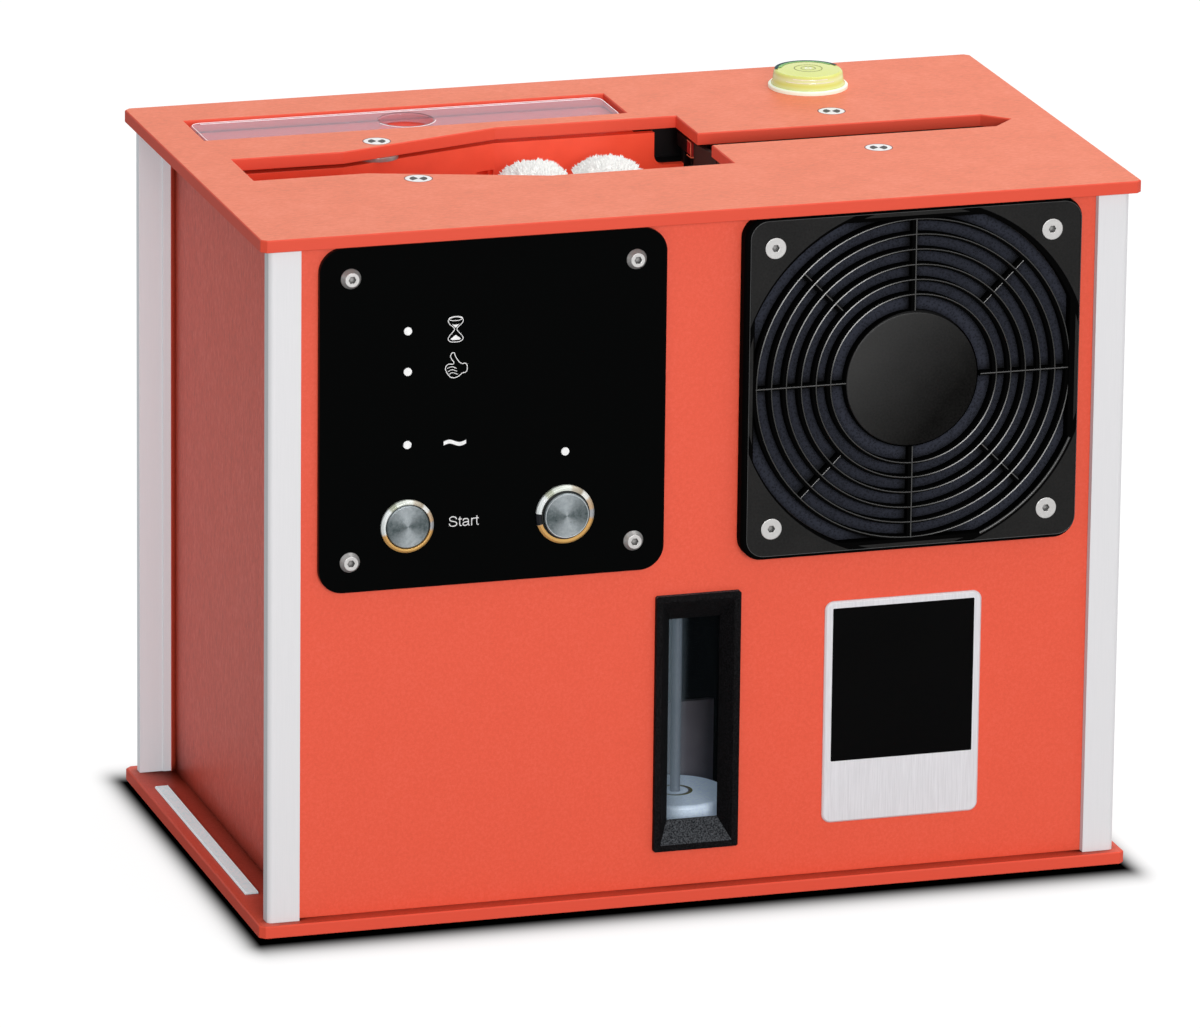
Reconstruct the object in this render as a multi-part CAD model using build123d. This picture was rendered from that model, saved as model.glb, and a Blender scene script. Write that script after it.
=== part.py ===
from build123d import *
from math import atan2, cos, pi, sin, sqrt, tan
import os

# Record cleaning machine: a free-standing case with a washing chamber, rollers, dryers and tank.
# Millimetres, +Z up, the front face looks along -Y, +X is to the right seen from the front.
# The origin is the centre of the footprint at floor level.

# ------------------------------------------------------------------ driving dimensions
CASE_W = 330.0              # top and base plate, left to right
CASE_D = 194.0              # top and base plate, front to back
PLATE_T = 4.5               # laminate of the top and base plates
PLATE_CORNER = 2.0          # bevel of the plates' upright corners
PLATE_EDGE = 0.4            # bevel of the plates' upper edges
BODY_H = 251.0              # clear height between base plate and top plate
FOOT_H = 2.0
FOOT_R = 10.0
FOOT_INSET_X = 35.0
FOOT_INSET_Y = 27.0

POST_W = 12.0               # visible width of a corner post
POST_D = 5.5                # visible depth of a corner post
POST_INSET = 3.5            # plate overhang past the posts
POST_ROUND = 2.0
TONGUE_T = 2.0              # tongue of a post in the end groove of a panel
TONGUE_L = 6.0
PANEL_T = 4.0               # front and rear panels
PANEL_RECESS = 3.0          # panel face behind the post face
SIDE_T = 2.5                # side panels
SIDE_RECESS = 1.5           # side panel face inside the inner edge of the posts
BAR_W = 6.0                 # corner bars that the panels are bonded to
BAR_D = 10.0
FIT = 0.3                   # loose fit of a cover, cassette or pane in its seat
SLIP = 0.05                 # running clearance of a shaft in its bore, per side

# openings of the top plate, seen from above
WELL_END = 19.5             # plate left of the washing well
WELL_NARROW_L = 42.0        # length of its narrow part
WELL_TAPER_L = 63.5         # length of the taper to its wide part
WELL_SHORT = 6.5            # right end of its wide part from the chamber's end wall
WELL_NARROW = 15.5          # half width of the narrow part
WELL_WIDE = 35.3            # half width of the wide part
SLOT_HALF = 8.65            # half width of the drying slot
SLOT_END = 17.0             # plate right of the slot
SLOT_POINT = 8.7            # length of its pointed end
POCKET_END = 17.0           # plate left of the clear cover's pocket
POCKET_GAP = 3.1            # from the pocket to the air duct, across the trough wall
POCKET_SET = 8.9            # from the well's wide part to the pocket
POCKET_D = 29.4
COVER_DROP = 1.0            # cover face below the top face
COVER_GAP_END = 1.4
COVER_GAP_SIDE = 0.4
COVER_ROUND = 4.0
FINGER_R = 10.0

# screws (M5 and M4 countersunk, M4 button head)
TOP_SCREW_END = 77.5        # top screws from the ends of the plate
TOP_SCREW_Y = 27.5
M5_HEAD_R = 4.9
M5_HEAD_H = 2.7
M5_R = 2.5
M5_HEX = 3.0
TOP_SCREW_L = 15.0
SPACER_R = 8.0
SPACER_T = 1.5
M4_HEAD_R = 3.9
M4_HEAD_H = 2.2
M4_R = 2.0
M4_HEX = 2.5
BASE_SCREW_L = 16.0

# washing chamber and filter trough
WALL = 3.0
CHAMBER_SET_BACK = 0.5      # chamber wall behind the edge of the top opening
CHAMBER_FLOOR = 137.0       # underside of the floor
PASSAGE_HALF = 9.0          # half width of the record passage
PASSAGE_Z = 146.0
FLANGE_T = 2.5
BOSS_R = 5.0
BOSS_H = 16.0
NOTCH_W = 11.5              # notch in the top of the rear wall
NOTCH_DEPTH = 12.5
TROUGH_H = 30.0
TROUGH_WALL = 2.2
CASSETTE_WALL = 1.8
CASSETTE_TOP = 2.0

# rollers and their gears
ROLLER_MID_X = -17.2
GEAR_MODULE = 1.0
GEAR_TEETH = 28
PINION_TEETH = 14
GEAR_T = 6.0
GEAR_DROP = 5.0             # gear face below the chamber floor
GEAR_BACKLASH = 0.14        # angle share of one tooth pitch left free
ROLLER_CORE_R = 9.0
ROLLER_R = 12.8
ROLLER_TOP = 252.4
ROLLER_FOOT_GAP = 1.0
SHAFT_R = 2.5
BUSH_R = 5.5
BUSH_H = 6.0
MOTOR_R = 18.0
MOTOR_H = 34.0
MOTOR_SPACER_R = 2.5
MOTOR_SPACER_X = 12.5
PIN_R = 2.0

# record support wheels
RECORD_R = 150.8
RECORD_X = 1.0
RECORD_Z = 303.0            # centre of a record in use, above the top plate
WHEEL_R = 10.0
WHEEL_W = 8.0
WHEEL_GROOVE = 2.0
WHEEL_END = 30.0            # drive wheel's centre from the duct's right wall
WEB_Y = 9.0
WEB_T = 3.0
WEB_W = 32.0
RECORD_MOTOR_R = 15.0
RECORD_MOTOR_L = 34.0

# wipers and overflow cup
CLIP_END = 5.7              # clip from the chamber's end wall
CLIP_W = 5.0
CLIP_H = 5.6
CLIP_WALL = 1.1
CLIP_Y = 19.0               # front end of a clip, from the record's plane
CLIP_DROP = 0.3             # clip top below the flange face
LIP_TIP = 0.6
LIP_T = 1.4
LIP_H = 100.0
CUP_DEPTH = 8.5
CUP_WALL = 1.0
OVERFLOW_BACK = (17.5, 4.1) # overflow slots in the taper's rear wall, from its wide end
OVERFLOW_W = 7.0
OVERFLOW_H = 7.0
OVERFLOW_Z = 239.0

# dryers: two 120 mm fans with guards
FAN_END = 66.7              # fan axis from the right side panel
FAN_Z = 193.3
FAN_SIZE = 120.0
FAN_T = 25.0
FAN_PITCH = 105.0
FAN_BORE_R = 57.5
FAN_HUB_R = 20.0
FAN_BLADES = 7
BLADE_W = 25.0
BLADE_T = 1.6
FAN_ROUND = 6.0
GUARD_SIZE = 128.0
GUARD_T = 5.0
GUARD_ROUND = 8.0
GUARD_EDGE = 0.8
GUARD_FLAT = 60.0           # half width of the guard's opening across the flats
GUARD_OPEN_R = 65.5
GUARD_RING_R = (59.7, 54.0, 48.4, 42.7, 37.1, 31.6)
GUARD_RING_W = 1.3
GUARD_RING_D = 3.0
GUARD_RING_SET = 0.6        # rings behind the guard's face
FOAM_GAP = 0.1              # foam behind the rings
GUARD_HUB_R = 25.5
GUARD_HUB_D = 3.5
GUARD_HUB_SET = 0.2         # hub disc behind the guard's face
AIR_HOLE_R = 58.0
DUCT_WALL = 2.5
DUCT_END = 39.5             # duct's left wall from the fan axis
DUCT_GAP = 1.5              # duct to side panel
DUCT_Z0 = 131.0

# control plate
CONTROL_END = 7.0           # plate to corner post
CONTROL_GAP = 28.3          # plate to fan guard
CONTROL_Z = 192.2
CONTROL_H = 127.6
CONTROL_T = 2.0
CONTROL_ROUND = 9.0
CONTROL_SCREW_END = 11.5    # screws from the plate's ends
CONTROL_SCREW_Z = 52.5
BUTTON_HEAD_R = 3.75
BUTTON_HEAD_H = 2.0
LAMP_R = 1.5
LAMP_Z_LEFT = (224.0, 209.0, 181.9)
LAMP_Z_RIGHT = 175.1
LAMP_L = 9.0
BUTTON_Z = 151.8
START_END = 32.6            # start button from the plate's left end
START_RING_R = 9.8
START_CAP_R = 8.0
MODE_END = 37.5             # mode button from the plate's right end
MODE_RING_R = 10.9
MODE_CAP_R = 8.4
MODE_PROUD = 3.4
RING_H = 1.8
CAP_SEAT = 0.6              # back of a button cap behind the plate face
CAP_WELL = 2.5              # depth of the well it moves in, from the plate face
BARREL_WALL = 0.9           # barrel wall round a button cap
BARREL_L = 20.0
BUTTON_GAP = 0.3
BARREL_FIT = 0.15
NUT_T = 3.0
BOARD_END = 9.5             # board shorter than the plate, at each end
BOARD_H = 92.0
BOARD_T = 1.6
BOARD_STAND = 25.0
STANDOFF_R = 3.0
STANDOFF_INSET = 5.0
CHIP_SIZE = 16.0            # main chip, connector and capacitors on the board
CHIP_T = 2.5
CONNECTOR_L = 20.0
CONNECTOR_H = 12.0
CONNECTOR_D = 9.0
CAPACITOR_R = 5.0
CAPACITOR_L = 14.0
BOARD_STEP = 30.0           # from the board's middle to its tall parts

# window, tank and float
WINDOW_X = 0.3
WINDOW_Z = 68.9
BEZEL_W = 32.1
BEZEL_H = 97.1
BEZEL_PROUD = 2.0
BEZEL_RIM = 2.4
VIEW_W = 19.1
VIEW_H = 76.3
BEZEL_DEPTH = 5.5
PANE_T = 2.5
TANK_END = 1.5              # tank to corner bar
TANK_X1 = 62.0
TANK_Y1 = 12.0
TANK_TOP = 116.0
TANK_WALL = 2.5
PORT_X = -70.0
PORT_Y = -20.0
PORT_W = 44.0
PORT_D = 30.0
BAFFLE_X0 = -60.0
BAFFLE_X1 = 24.0
BAFFLE_T = 2.0
BAFFLE_TOP = 59.0
FLOAT_X = 2.4
FLOAT_GAP = 2.5             # float to tank wall and to baffle
FLOAT_R = 19.5
FLOAT_H = 12.0
FLOAT_Z = 20.5
STEM_R = 1.9
STOP_R = 4.5
STOP_H = 2.2

# badge plate, ledge strip and spirit level
BADGE_Z = 67.9
BADGE_W = 60.0
BADGE_H = 84.5
BADGE_T = 1.2
BADGE_ROUND = 3.4
STRIP_INSET = 6.8           # strip from the base plate's left edge
STRIP_W = 5.0
STRIP_FRONT = 37.0          # its ends from the plate's front and rear edges
STRIP_REAR = 28.4
STRIP_T = 0.8
LEVEL_END = 74.5            # level from the top plate's right and rear edges
LEVEL_REAR = 32.2
LEVEL_BASE_R = 14.9
LEVEL_BASE_H = 1.5
LEVEL_LOW_R = 13.6
LEVEL_TOP_R = 11.7
LEVEL_H = 7.0

# transducer, pump, pipe, inlet, switch and drain
HORN_Z = 165.0
HORN_R = 19.0
HORN_TIP_R = 14.0
HORN_L = 12.0
RING_STACK_R = 14.0
RING_STACK_T = 3.0
BACK_MASS_L = 10.0
PUMP_END = 65.0             # pump from the case's left end
PUMP_GAP = 2.5              # pump to power inlet
PUMP_R = 18.0
PUMP_H = 54.0
PUMP_INLET_Z = 22.0
PIPE_R = 5.0
PIPE_BORE_R = 3.5
PIPE_RUN_Z = 123.0
PIPE_END_Y = 8.0
PIPE_BEND = 8.0
INLET_END = 53.0            # inlet from the case's left end
INLET_Z = 45.0
INLET_R = 9.0
INLET_BORE_R = 4.2
INLET_PIN_R = 1.0
INLET_L = 22.0
INLET_PROUD = 2.5
SWITCH_STEP = 34.0          # inlet to switch
SWITCH_Z = 45.0
SWITCH_W = 22.0
SWITCH_H = 28.0
SWITCH_PROUD = 2.0
SWITCH_RIM = 2.0
SWITCH_L = 20.0
ROCKER_TILT = 14.0
DRAIN_END = 32.0            # drain from the tank's right end
DRAIN_Z = 18.0
DRAIN_R = 6.0
DRAIN_BORE_R = 4.2
DRAIN_PROUD = 4.0
CAP_R = 8.5
CAP_END_T = 2.0

# ------------------------------------------------------------------ worked-out levels and faces
BASE_TOP = FOOT_H + PLATE_T
DECK = BASE_TOP + BODY_H                        # underside of the top plate
TOP = DECK + PLATE_T
POST_X1 = CASE_W / 2 - POST_INSET
POST_X0 = POST_X1 - POST_W
POST_Y1 = CASE_D / 2 - POST_INSET
POST_Y0 = POST_Y1 - POST_D
PANEL_Y1 = POST_Y1 - PANEL_RECESS               # outer face of the front and rear panels
PANEL_Y0 = PANEL_Y1 - PANEL_T
SIDE_X1 = POST_X0 - SIDE_RECESS
SIDE_X0 = SIDE_X1 - SIDE_T
WELL_X0 = WELL_END - CASE_W / 2
WELL_X1 = WELL_X0 + WELL_NARROW_L
WELL_X2 = WELL_X1 + WELL_TAPER_L
SLOT_TIP = CASE_W / 2 - SLOT_END
SLOT_SHOULDER = SLOT_TIP - SLOT_POINT
TOP_SCREW_X = CASE_W / 2 - TOP_SCREW_END
FAN_X = SIDE_X0 - FAN_END
DUCT_X0 = FAN_X - DUCT_END
DUCT_X1 = SIDE_X0 - DUCT_GAP
CHAMBER_X_END = DUCT_X0 - FIT - WALL            # inner face of the wall with the record passage
WELL_X3 = CHAMBER_X_END - WELL_SHORT
NOTCH_X0 = CHAMBER_X_END - WALL - NOTCH_W
CLIP_X = CHAMBER_X_END - CLIP_END
POCKET_X0 = POCKET_END - CASE_W / 2
POCKET_X1 = FAN_X - FAN_SIZE / 2 - DUCT_WALL - POCKET_GAP
POCKET_Y0 = WELL_WIDE + POCKET_SET
POCKET_Y1 = POCKET_Y0 + POCKET_D
CONTROL_X0 = CONTROL_END - POST_X0
CONTROL_X1 = FAN_X - GUARD_SIZE / 2 - CONTROL_GAP
CONTROL_X = (CONTROL_X0 + CONTROL_X1) / 2
CONTROL_W = CONTROL_X1 - CONTROL_X0
START_X = CONTROL_X0 + START_END
MODE_X = CONTROL_X1 - MODE_END
FLANGE_TOP = DECK - SPACER_T
FLOOR_TOP = CHAMBER_FLOOR + WALL
GEAR_TOP = CHAMBER_FLOOR - GEAR_DROP
GEAR_Z0 = GEAR_TOP - GEAR_T
ROLLER_PITCH = GEAR_MODULE * GEAR_TEETH         # centre distance of neighbouring rollers
PINION_X = ROLLER_MID_X - ROLLER_PITCH / 2
PINION_Y = ROLLER_PITCH / 2 + GEAR_MODULE * (GEAR_TEETH + PINION_TEETH) / 2
WHEEL_X = DUCT_X1 - WHEEL_END - RECORD_X        # wheel centres left and right of the record's centre
WHEEL_DROP = sqrt((RECORD_R + WHEEL_R - WHEEL_GROOVE) ** 2 - WHEEL_X ** 2)
WHEEL_Z = RECORD_Z - WHEEL_DROP
FAN_BACK = PANEL_Y0 - FAN_T
CONTROL_FACE = PANEL_Y1 + CONTROL_T
VIEW_FACE = PANEL_Y1 + BEZEL_PROUD - BEZEL_DEPTH
PANE_BACK = VIEW_FACE - PANE_T
TANK_FRONT = -PANE_BACK
TANK_X0 = TANK_END + BAR_W - SIDE_X0
FLOAT_Y = TANK_FRONT + TANK_WALL + FLOAT_GAP + FLOAT_R
BAFFLE_Y = FLOAT_Y + FLOAT_R + FLOAT_GAP
HORN_X = WELL_X0 + WELL_NARROW_L / 2
PUMP_X = PUMP_END - CASE_W / 2
PUMP_Y = PANEL_Y1 - INLET_L - PUMP_GAP - PUMP_R
INLET_X = INLET_END - CASE_W / 2
SWITCH_X = INLET_X + SWITCH_STEP
DRAIN_X = TANK_X1 - DRAIN_END
LEVEL_X = CASE_W / 2 - LEVEL_END
LEVEL_Y = CASE_D / 2 - LEVEL_REAR
STRIP_X = STRIP_INSET - CASE_W / 2
STRIP_Y0 = STRIP_FRONT - CASE_D / 2
STRIP_Y1 = CASE_D / 2 - STRIP_REAR
COVER_TOP = TOP - COVER_DROP
COVER_X0 = POCKET_X0 + COVER_GAP_END
COVER_X1 = POCKET_X1 - COVER_GAP_END
COVER_Y0 = POCKET_Y0 + COVER_GAP_SIDE
COVER_Y1 = POCKET_Y1 - COVER_GAP_SIDE


# ------------------------------------------------------------------ small helpers
def slab(x0, x1, y0, y1, z0, z1):
    """A box from its two opposite corners."""
    size = (x1 - x0, y1 - y0, z1 - z0)
    return Pos((x0 + x1) / 2, (y0 + y1) / 2, (z0 + z1) / 2) * Box(*size)


def rod(x, y, z0, z1, r):
    """An upright cylinder."""
    return Pos(x, y, (z0 + z1) / 2) * Cylinder(r, z1 - z0)


def rod_y(x, z, y0, y1, r):
    """A cylinder along Y."""
    return Pos(x, (y0 + y1) / 2, z) * Rot(90, 0, 0) * Cylinder(r, y1 - y0)


def prism(points, z0, z1):
    """An upright prism on a closed outline of (x, y) points."""
    return Pos(0, 0, z0) * extrude(make_face(Polyline(*points, close=True)), z1 - z0)


def rounded_slab_y(x, z, w, h, r, y0, y1):
    """A flat plate that faces along Y, with rounded corners."""
    face = Plane(origin=(x, y0, z), x_dir=(1, 0, 0), z_dir=(0, 1, 0)) * RectangleRounded(w, h, r)
    return extrude(face, y1 - y0)


def well_outline(grow, x_end):
    """The washing well seen from above, grown outwards by a distance."""
    slope = atan2(WELL_WIDE - WELL_NARROW, WELL_X2 - WELL_X1)
    shift = grow * tan(slope / 2)
    x0 = WELL_X0 - grow
    narrow = WELL_NARROW + grow
    wide = WELL_WIDE + grow
    rear = [(x0, narrow), (WELL_X1 - shift, narrow), (WELL_X2 - shift, wide), (x_end, wide)]
    return rear + [(x, -y) for x, y in reversed(rear)]


def mirrored(shape):
    """The shape and its mirror image across the XZ plane."""
    return [shape, mirror(shape, about=Plane.XZ)]


def countersunk(x, y, z_face, head_r, head_h, shank_r, length, hex_af, up=1):
    """A countersunk hexagon-socket screw whose head is flush with a level face."""
    cone_h = head_h
    head = Pos(0, 0, -cone_h / 2) * Cone(shank_r, head_r, cone_h)
    shank = Pos(0, 0, -(length + cone_h) / 2) * Cylinder(shank_r, length - cone_h)
    socket = extrude(RegularPolygon(hex_af / 2, 6, major_radius=False), -0.7 * head_h)
    screw = (head + shank) - socket
    turn = Rot(0, 0, 0) if up > 0 else Rot(180, 0, 0)
    return Pos(x, y, z_face) * turn * screw


def countersink_cut(x, y, z_face, head_r, head_h, shank_r, depth, up=1):
    """The hole that such a screw sits in, cut through a plate."""
    gap = 0.1
    cone = Pos(0, 0, -head_h / 2 + gap / 2) * Cone(shank_r + gap, head_r + gap * 1.5, head_h + gap)
    bore = Pos(0, 0, -depth / 2) * Cylinder(shank_r + gap, depth + 1)
    turn = Rot(0, 0, 0) if up > 0 else Rot(180, 0, 0)
    return Pos(x, y, z_face) * turn * (cone + bore)


def facing_front(shape):
    """Turns a shape built along +Z so that its top faces the front, -Y."""
    return Rot(90, 0, 0) * shape


def spur_gear(teeth, z0, z1, tooth_at_zero):
    """A straight-toothed gear round the Z axis at the origin."""
    pitch_r = GEAR_MODULE * teeth / 2
    tip_r = pitch_r + 0.9 * GEAR_MODULE
    root_r = pitch_r - 1.15 * GEAR_MODULE
    step = 2 * pi / teeth
    half_pitch = step / 4 - GEAR_BACKLASH * step / 4
    half_tip = 0.50 * half_pitch
    half_root = 1.55 * half_pitch
    points = []
    for i in range(teeth):
        mid = i * step if tooth_at_zero else (i + 0.5) * step
        for r, a in ((root_r, -half_root), (pitch_r, -half_pitch), (tip_r, -half_tip),
                     (tip_r, half_tip), (pitch_r, half_pitch), (root_r, half_root)):
            points.append((r * cos(mid + a), r * sin(mid + a)))
    return prism(points, z0, z1)


# ------------------------------------------------------------------ case
def case_plate(z0):
    """A laminate plate with bevelled upright corners."""
    plate = slab(-CASE_W / 2, CASE_W / 2, -CASE_D / 2, CASE_D / 2, z0, z0 + PLATE_T)
    return chamfer(plate.edges().filter_by(Axis.Z), PLATE_CORNER)


def base_plate():
    plate = case_plate(FOOT_H)
    plate = chamfer(plate.faces().sort_by(Axis.Z)[-1].edges(), PLATE_EDGE)
    for x, y in corner_bar_centres():
        plate -= countersink_cut(x, y, FOOT_H, M4_HEAD_R, M4_HEAD_H, M4_R, PLATE_T, up=-1)
    return plate


def top_plate():
    plate = case_plate(DECK)
    cut0 = DECK - 1
    cut1 = TOP + 1
    plate -= prism(well_outline(0, WELL_X3), cut0, cut1)
    slot = [(WELL_X3 - 1, -SLOT_HALF), (SLOT_SHOULDER, -SLOT_HALF), (SLOT_TIP, 0),
            (SLOT_SHOULDER, SLOT_HALF), (WELL_X3 - 1, SLOT_HALF)]
    plate -= prism(slot, cut0, cut1)
    plate -= slab(POCKET_X0, POCKET_X1, POCKET_Y0, POCKET_Y1, cut0, cut1)
    plate = chamfer(plate.faces().sort_by(Axis.Z)[-1].edges(), PLATE_EDGE)
    for x in (-TOP_SCREW_X, TOP_SCREW_X):
        for y in (-TOP_SCREW_Y, TOP_SCREW_Y):
            plate -= countersink_cut(x, y, TOP, M5_HEAD_R, M5_HEAD_H, M5_R, PLATE_T)
    return plate


def corner_bar_centres():
    x = SIDE_X0 - BAR_W / 2
    y = PANEL_Y0 - BAR_D / 2
    return [(sx * x, sy * y) for sx in (-1, 1) for sy in (-1, 1)]


def corner_bars():
    """Four bars inside the corners, bonded to the panels; the base screws go into them."""
    bars = []
    for x, y in corner_bar_centres():
        bar = slab(x - BAR_W / 2, x + BAR_W / 2, y - BAR_D / 2, y + BAR_D / 2, BASE_TOP, DECK)
        depth = BASE_SCREW_L - PLATE_T + 2
        bars.append(bar - rod(x, y, BASE_TOP - 1, BASE_TOP + depth, M4_R + SLIP))
    return bars


def corner_posts():
    """Four aluminium extrusions: a wide face with one rounded corner and a hidden tongue."""
    post = slab(POST_X0, POST_X1, -POST_Y1, -POST_Y0, BASE_TOP, DECK)
    outer = post.edges().filter_by(Axis.Z).sort_by(lambda e: e.center().X - e.center().Y)[-1]
    post = fillet(outer, POST_ROUND)
    tongue_y = -(PANEL_Y1 + PANEL_Y0) / 2
    tongue_x = POST_X0 - TONGUE_L + FIT / 3
    post += slab(tongue_x, POST_X0 + 3, tongue_y - TONGUE_T / 2, tongue_y + TONGUE_T / 2, BASE_TOP, DECK)
    right = [post, mirror(post, about=Plane.XZ)]
    return right + [mirror(p, about=Plane.YZ) for p in right]


def groove_cuts():
    """End grooves of the front and rear panels that take the tongues."""
    mid = (PANEL_Y1 + PANEL_Y0) / 2
    half = TONGUE_T / 2 + SLIP
    cut = slab(POST_X0 - TONGUE_L, POST_X0 + 1, -mid - half, -mid + half, BASE_TOP - 1, DECK + 1)
    return cut + mirror(cut, about=Plane.YZ)


def fan_screw_centres():
    h = FAN_PITCH / 2
    return [(FAN_X + sx * h, FAN_Z + sz * h) for sx in (-1, 1) for sz in (-1, 1)]


def main_panel():
    """What the front and rear panels share, built at the front."""
    panel = slab(-POST_X0, POST_X0, -PANEL_Y1, -PANEL_Y0, BASE_TOP, DECK)
    panel -= groove_cuts()
    panel -= rod_y(FAN_X, FAN_Z, -PANEL_Y1 - 1, -PANEL_Y0 + 1, AIR_HOLE_R)
    for x, z in fan_screw_centres():
        panel -= rod_y(x, z, -PANEL_Y1 - 1, -PANEL_Y0 + 1, M4_R + 0.15)
    return panel


def front_panel():
    panel = main_panel()
    neck = 2 * (BEZEL_RIM - FIT / 2)
    hole_w = BEZEL_W - neck + 2 * FIT
    hole_h = BEZEL_H - neck + 2 * FIT
    panel -= slab(WINDOW_X - hole_w / 2, WINDOW_X + hole_w / 2, -PANEL_Y1 - 1, -PANEL_Y0 + 1,
                  WINDOW_Z - hole_h / 2, WINDOW_Z + hole_h / 2)
    for x, cap_r in ((START_X, START_CAP_R), (MODE_X, MODE_CAP_R)):
        panel -= rod_y(x, BUTTON_Z, -PANEL_Y1 - 1, -PANEL_Y0 + 1, barrel_radius(cap_r) + BARREL_FIT)
    for x, z in lamp_centres():
        panel -= rod_y(x, z, -PANEL_Y1 - 1, -PANEL_Y0 + 1, LAMP_R + SLIP)
    for x, z in control_screw_centres():
        panel -= rod_y(x, z, -PANEL_Y1 - 1, -PANEL_Y0 + 1, M4_R + SLIP)
    return panel


def rear_panel():
    panel = mirror(main_panel(), about=Plane.XZ)
    panel -= rod_y(INLET_X, INLET_Z, PANEL_Y0 - 1, PANEL_Y1 + 1, INLET_R - 2 + 0.2)
    hole_w = SWITCH_W - 2 * SWITCH_RIM + 2 * FIT
    hole_h = SWITCH_H - 2 * SWITCH_RIM + 2 * FIT
    panel -= slab(SWITCH_X - hole_w / 2, SWITCH_X + hole_w / 2, PANEL_Y0 - 1, PANEL_Y1 + 1,
                  SWITCH_Z - hole_h / 2, SWITCH_Z + hole_h / 2)
    panel -= rod_y(DRAIN_X, DRAIN_Z, PANEL_Y0 - 1, PANEL_Y1 + 1, DRAIN_R + FIT)
    return panel


def side_panel(side):
    panel = slab(SIDE_X0, SIDE_X1, -PANEL_Y0, PANEL_Y0, BASE_TOP, DECK)
    return panel if side > 0 else mirror(panel, about=Plane.YZ)


def rubber_feet():
    x = CASE_W / 2 - FOOT_INSET_X
    y = CASE_D / 2 - FOOT_INSET_Y
    foot = chamfer(rod(0, 0, 0, FOOT_H, FOOT_R).edges().sort_by(Axis.Z)[0], 0.5)
    return [Pos(sx * x, sy * y, 0) * foot for sx in (-1, 1) for sy in (-1, 1)]


def base_screws():
    return [countersunk(x, y, FOOT_H, M4_HEAD_R, M4_HEAD_H, M4_R, BASE_SCREW_L, M4_HEX, up=-1)
            for x, y in corner_bar_centres()]


def top_screw_centres():
    return [(sx * TOP_SCREW_X, sy * TOP_SCREW_Y) for sx in (-1, 1) for sy in (-1, 1)]


def top_plate_screws():
    return [countersunk(x, y, TOP, M5_HEAD_R, M5_HEAD_H, M5_R, TOP_SCREW_L, M5_HEX)
            for x, y in top_screw_centres()]


def top_plate_spacers():
    """Flat rings between the top plate and the chamber flange."""
    return [rod(x, y, FLANGE_TOP, DECK, SPACER_R) - rod(x, y, FLANGE_TOP - 1, DECK + 1, M5_R + 0.2)
            for x, y in top_screw_centres()]


# ------------------------------------------------------------------ top fittings
def clear_cover():
    """Clear cover of the filter trough, with a finger hole."""
    w = COVER_X1 - COVER_X0
    d = COVER_Y1 - COVER_Y0
    mid = ((COVER_X0 + COVER_X1) / 2, (COVER_Y0 + COVER_Y1) / 2)
    cover = Pos(*mid, DECK) * extrude(RectangleRounded(w, d, COVER_ROUND), COVER_TOP - DECK)
    cover -= rod(*finger_centre(), DECK - 1, COVER_TOP + 1, FINGER_R)
    return chamfer(cover.faces().sort_by(Axis.Z)[-1].edges(), 0.5)


def finger_centre():
    return (POCKET_X0 + POCKET_X1) / 2, (POCKET_Y0 + POCKET_Y1) / 2


def level_base():
    """The flange of the round bubble level, bonded to the top plate."""
    base = rod(LEVEL_X, LEVEL_Y, TOP, TOP + LEVEL_BASE_H, LEVEL_BASE_R)
    return chamfer(base.edges().sort_by(Axis.Z)[-1], 0.4)


def level_vial():
    """The tapered vial of the level."""
    body_h = LEVEL_H - LEVEL_BASE_H
    vial = Pos(LEVEL_X, LEVEL_Y, TOP + LEVEL_BASE_H + body_h / 2) * Cone(LEVEL_LOW_R, LEVEL_TOP_R, body_h)
    return chamfer(vial.edges().sort_by(Axis.Z)[-1], 0.4)


# ------------------------------------------------------------------ washing chamber
def trough_box():
    """Inner corners of the filter trough, which lies under the pocket of the clear cover."""
    x0 = -SIDE_X0 + TROUGH_WALL
    return x0, POCKET_X1 - 1, POCKET_Y0 + 0.5, POCKET_Y1 - 0.5


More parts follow.
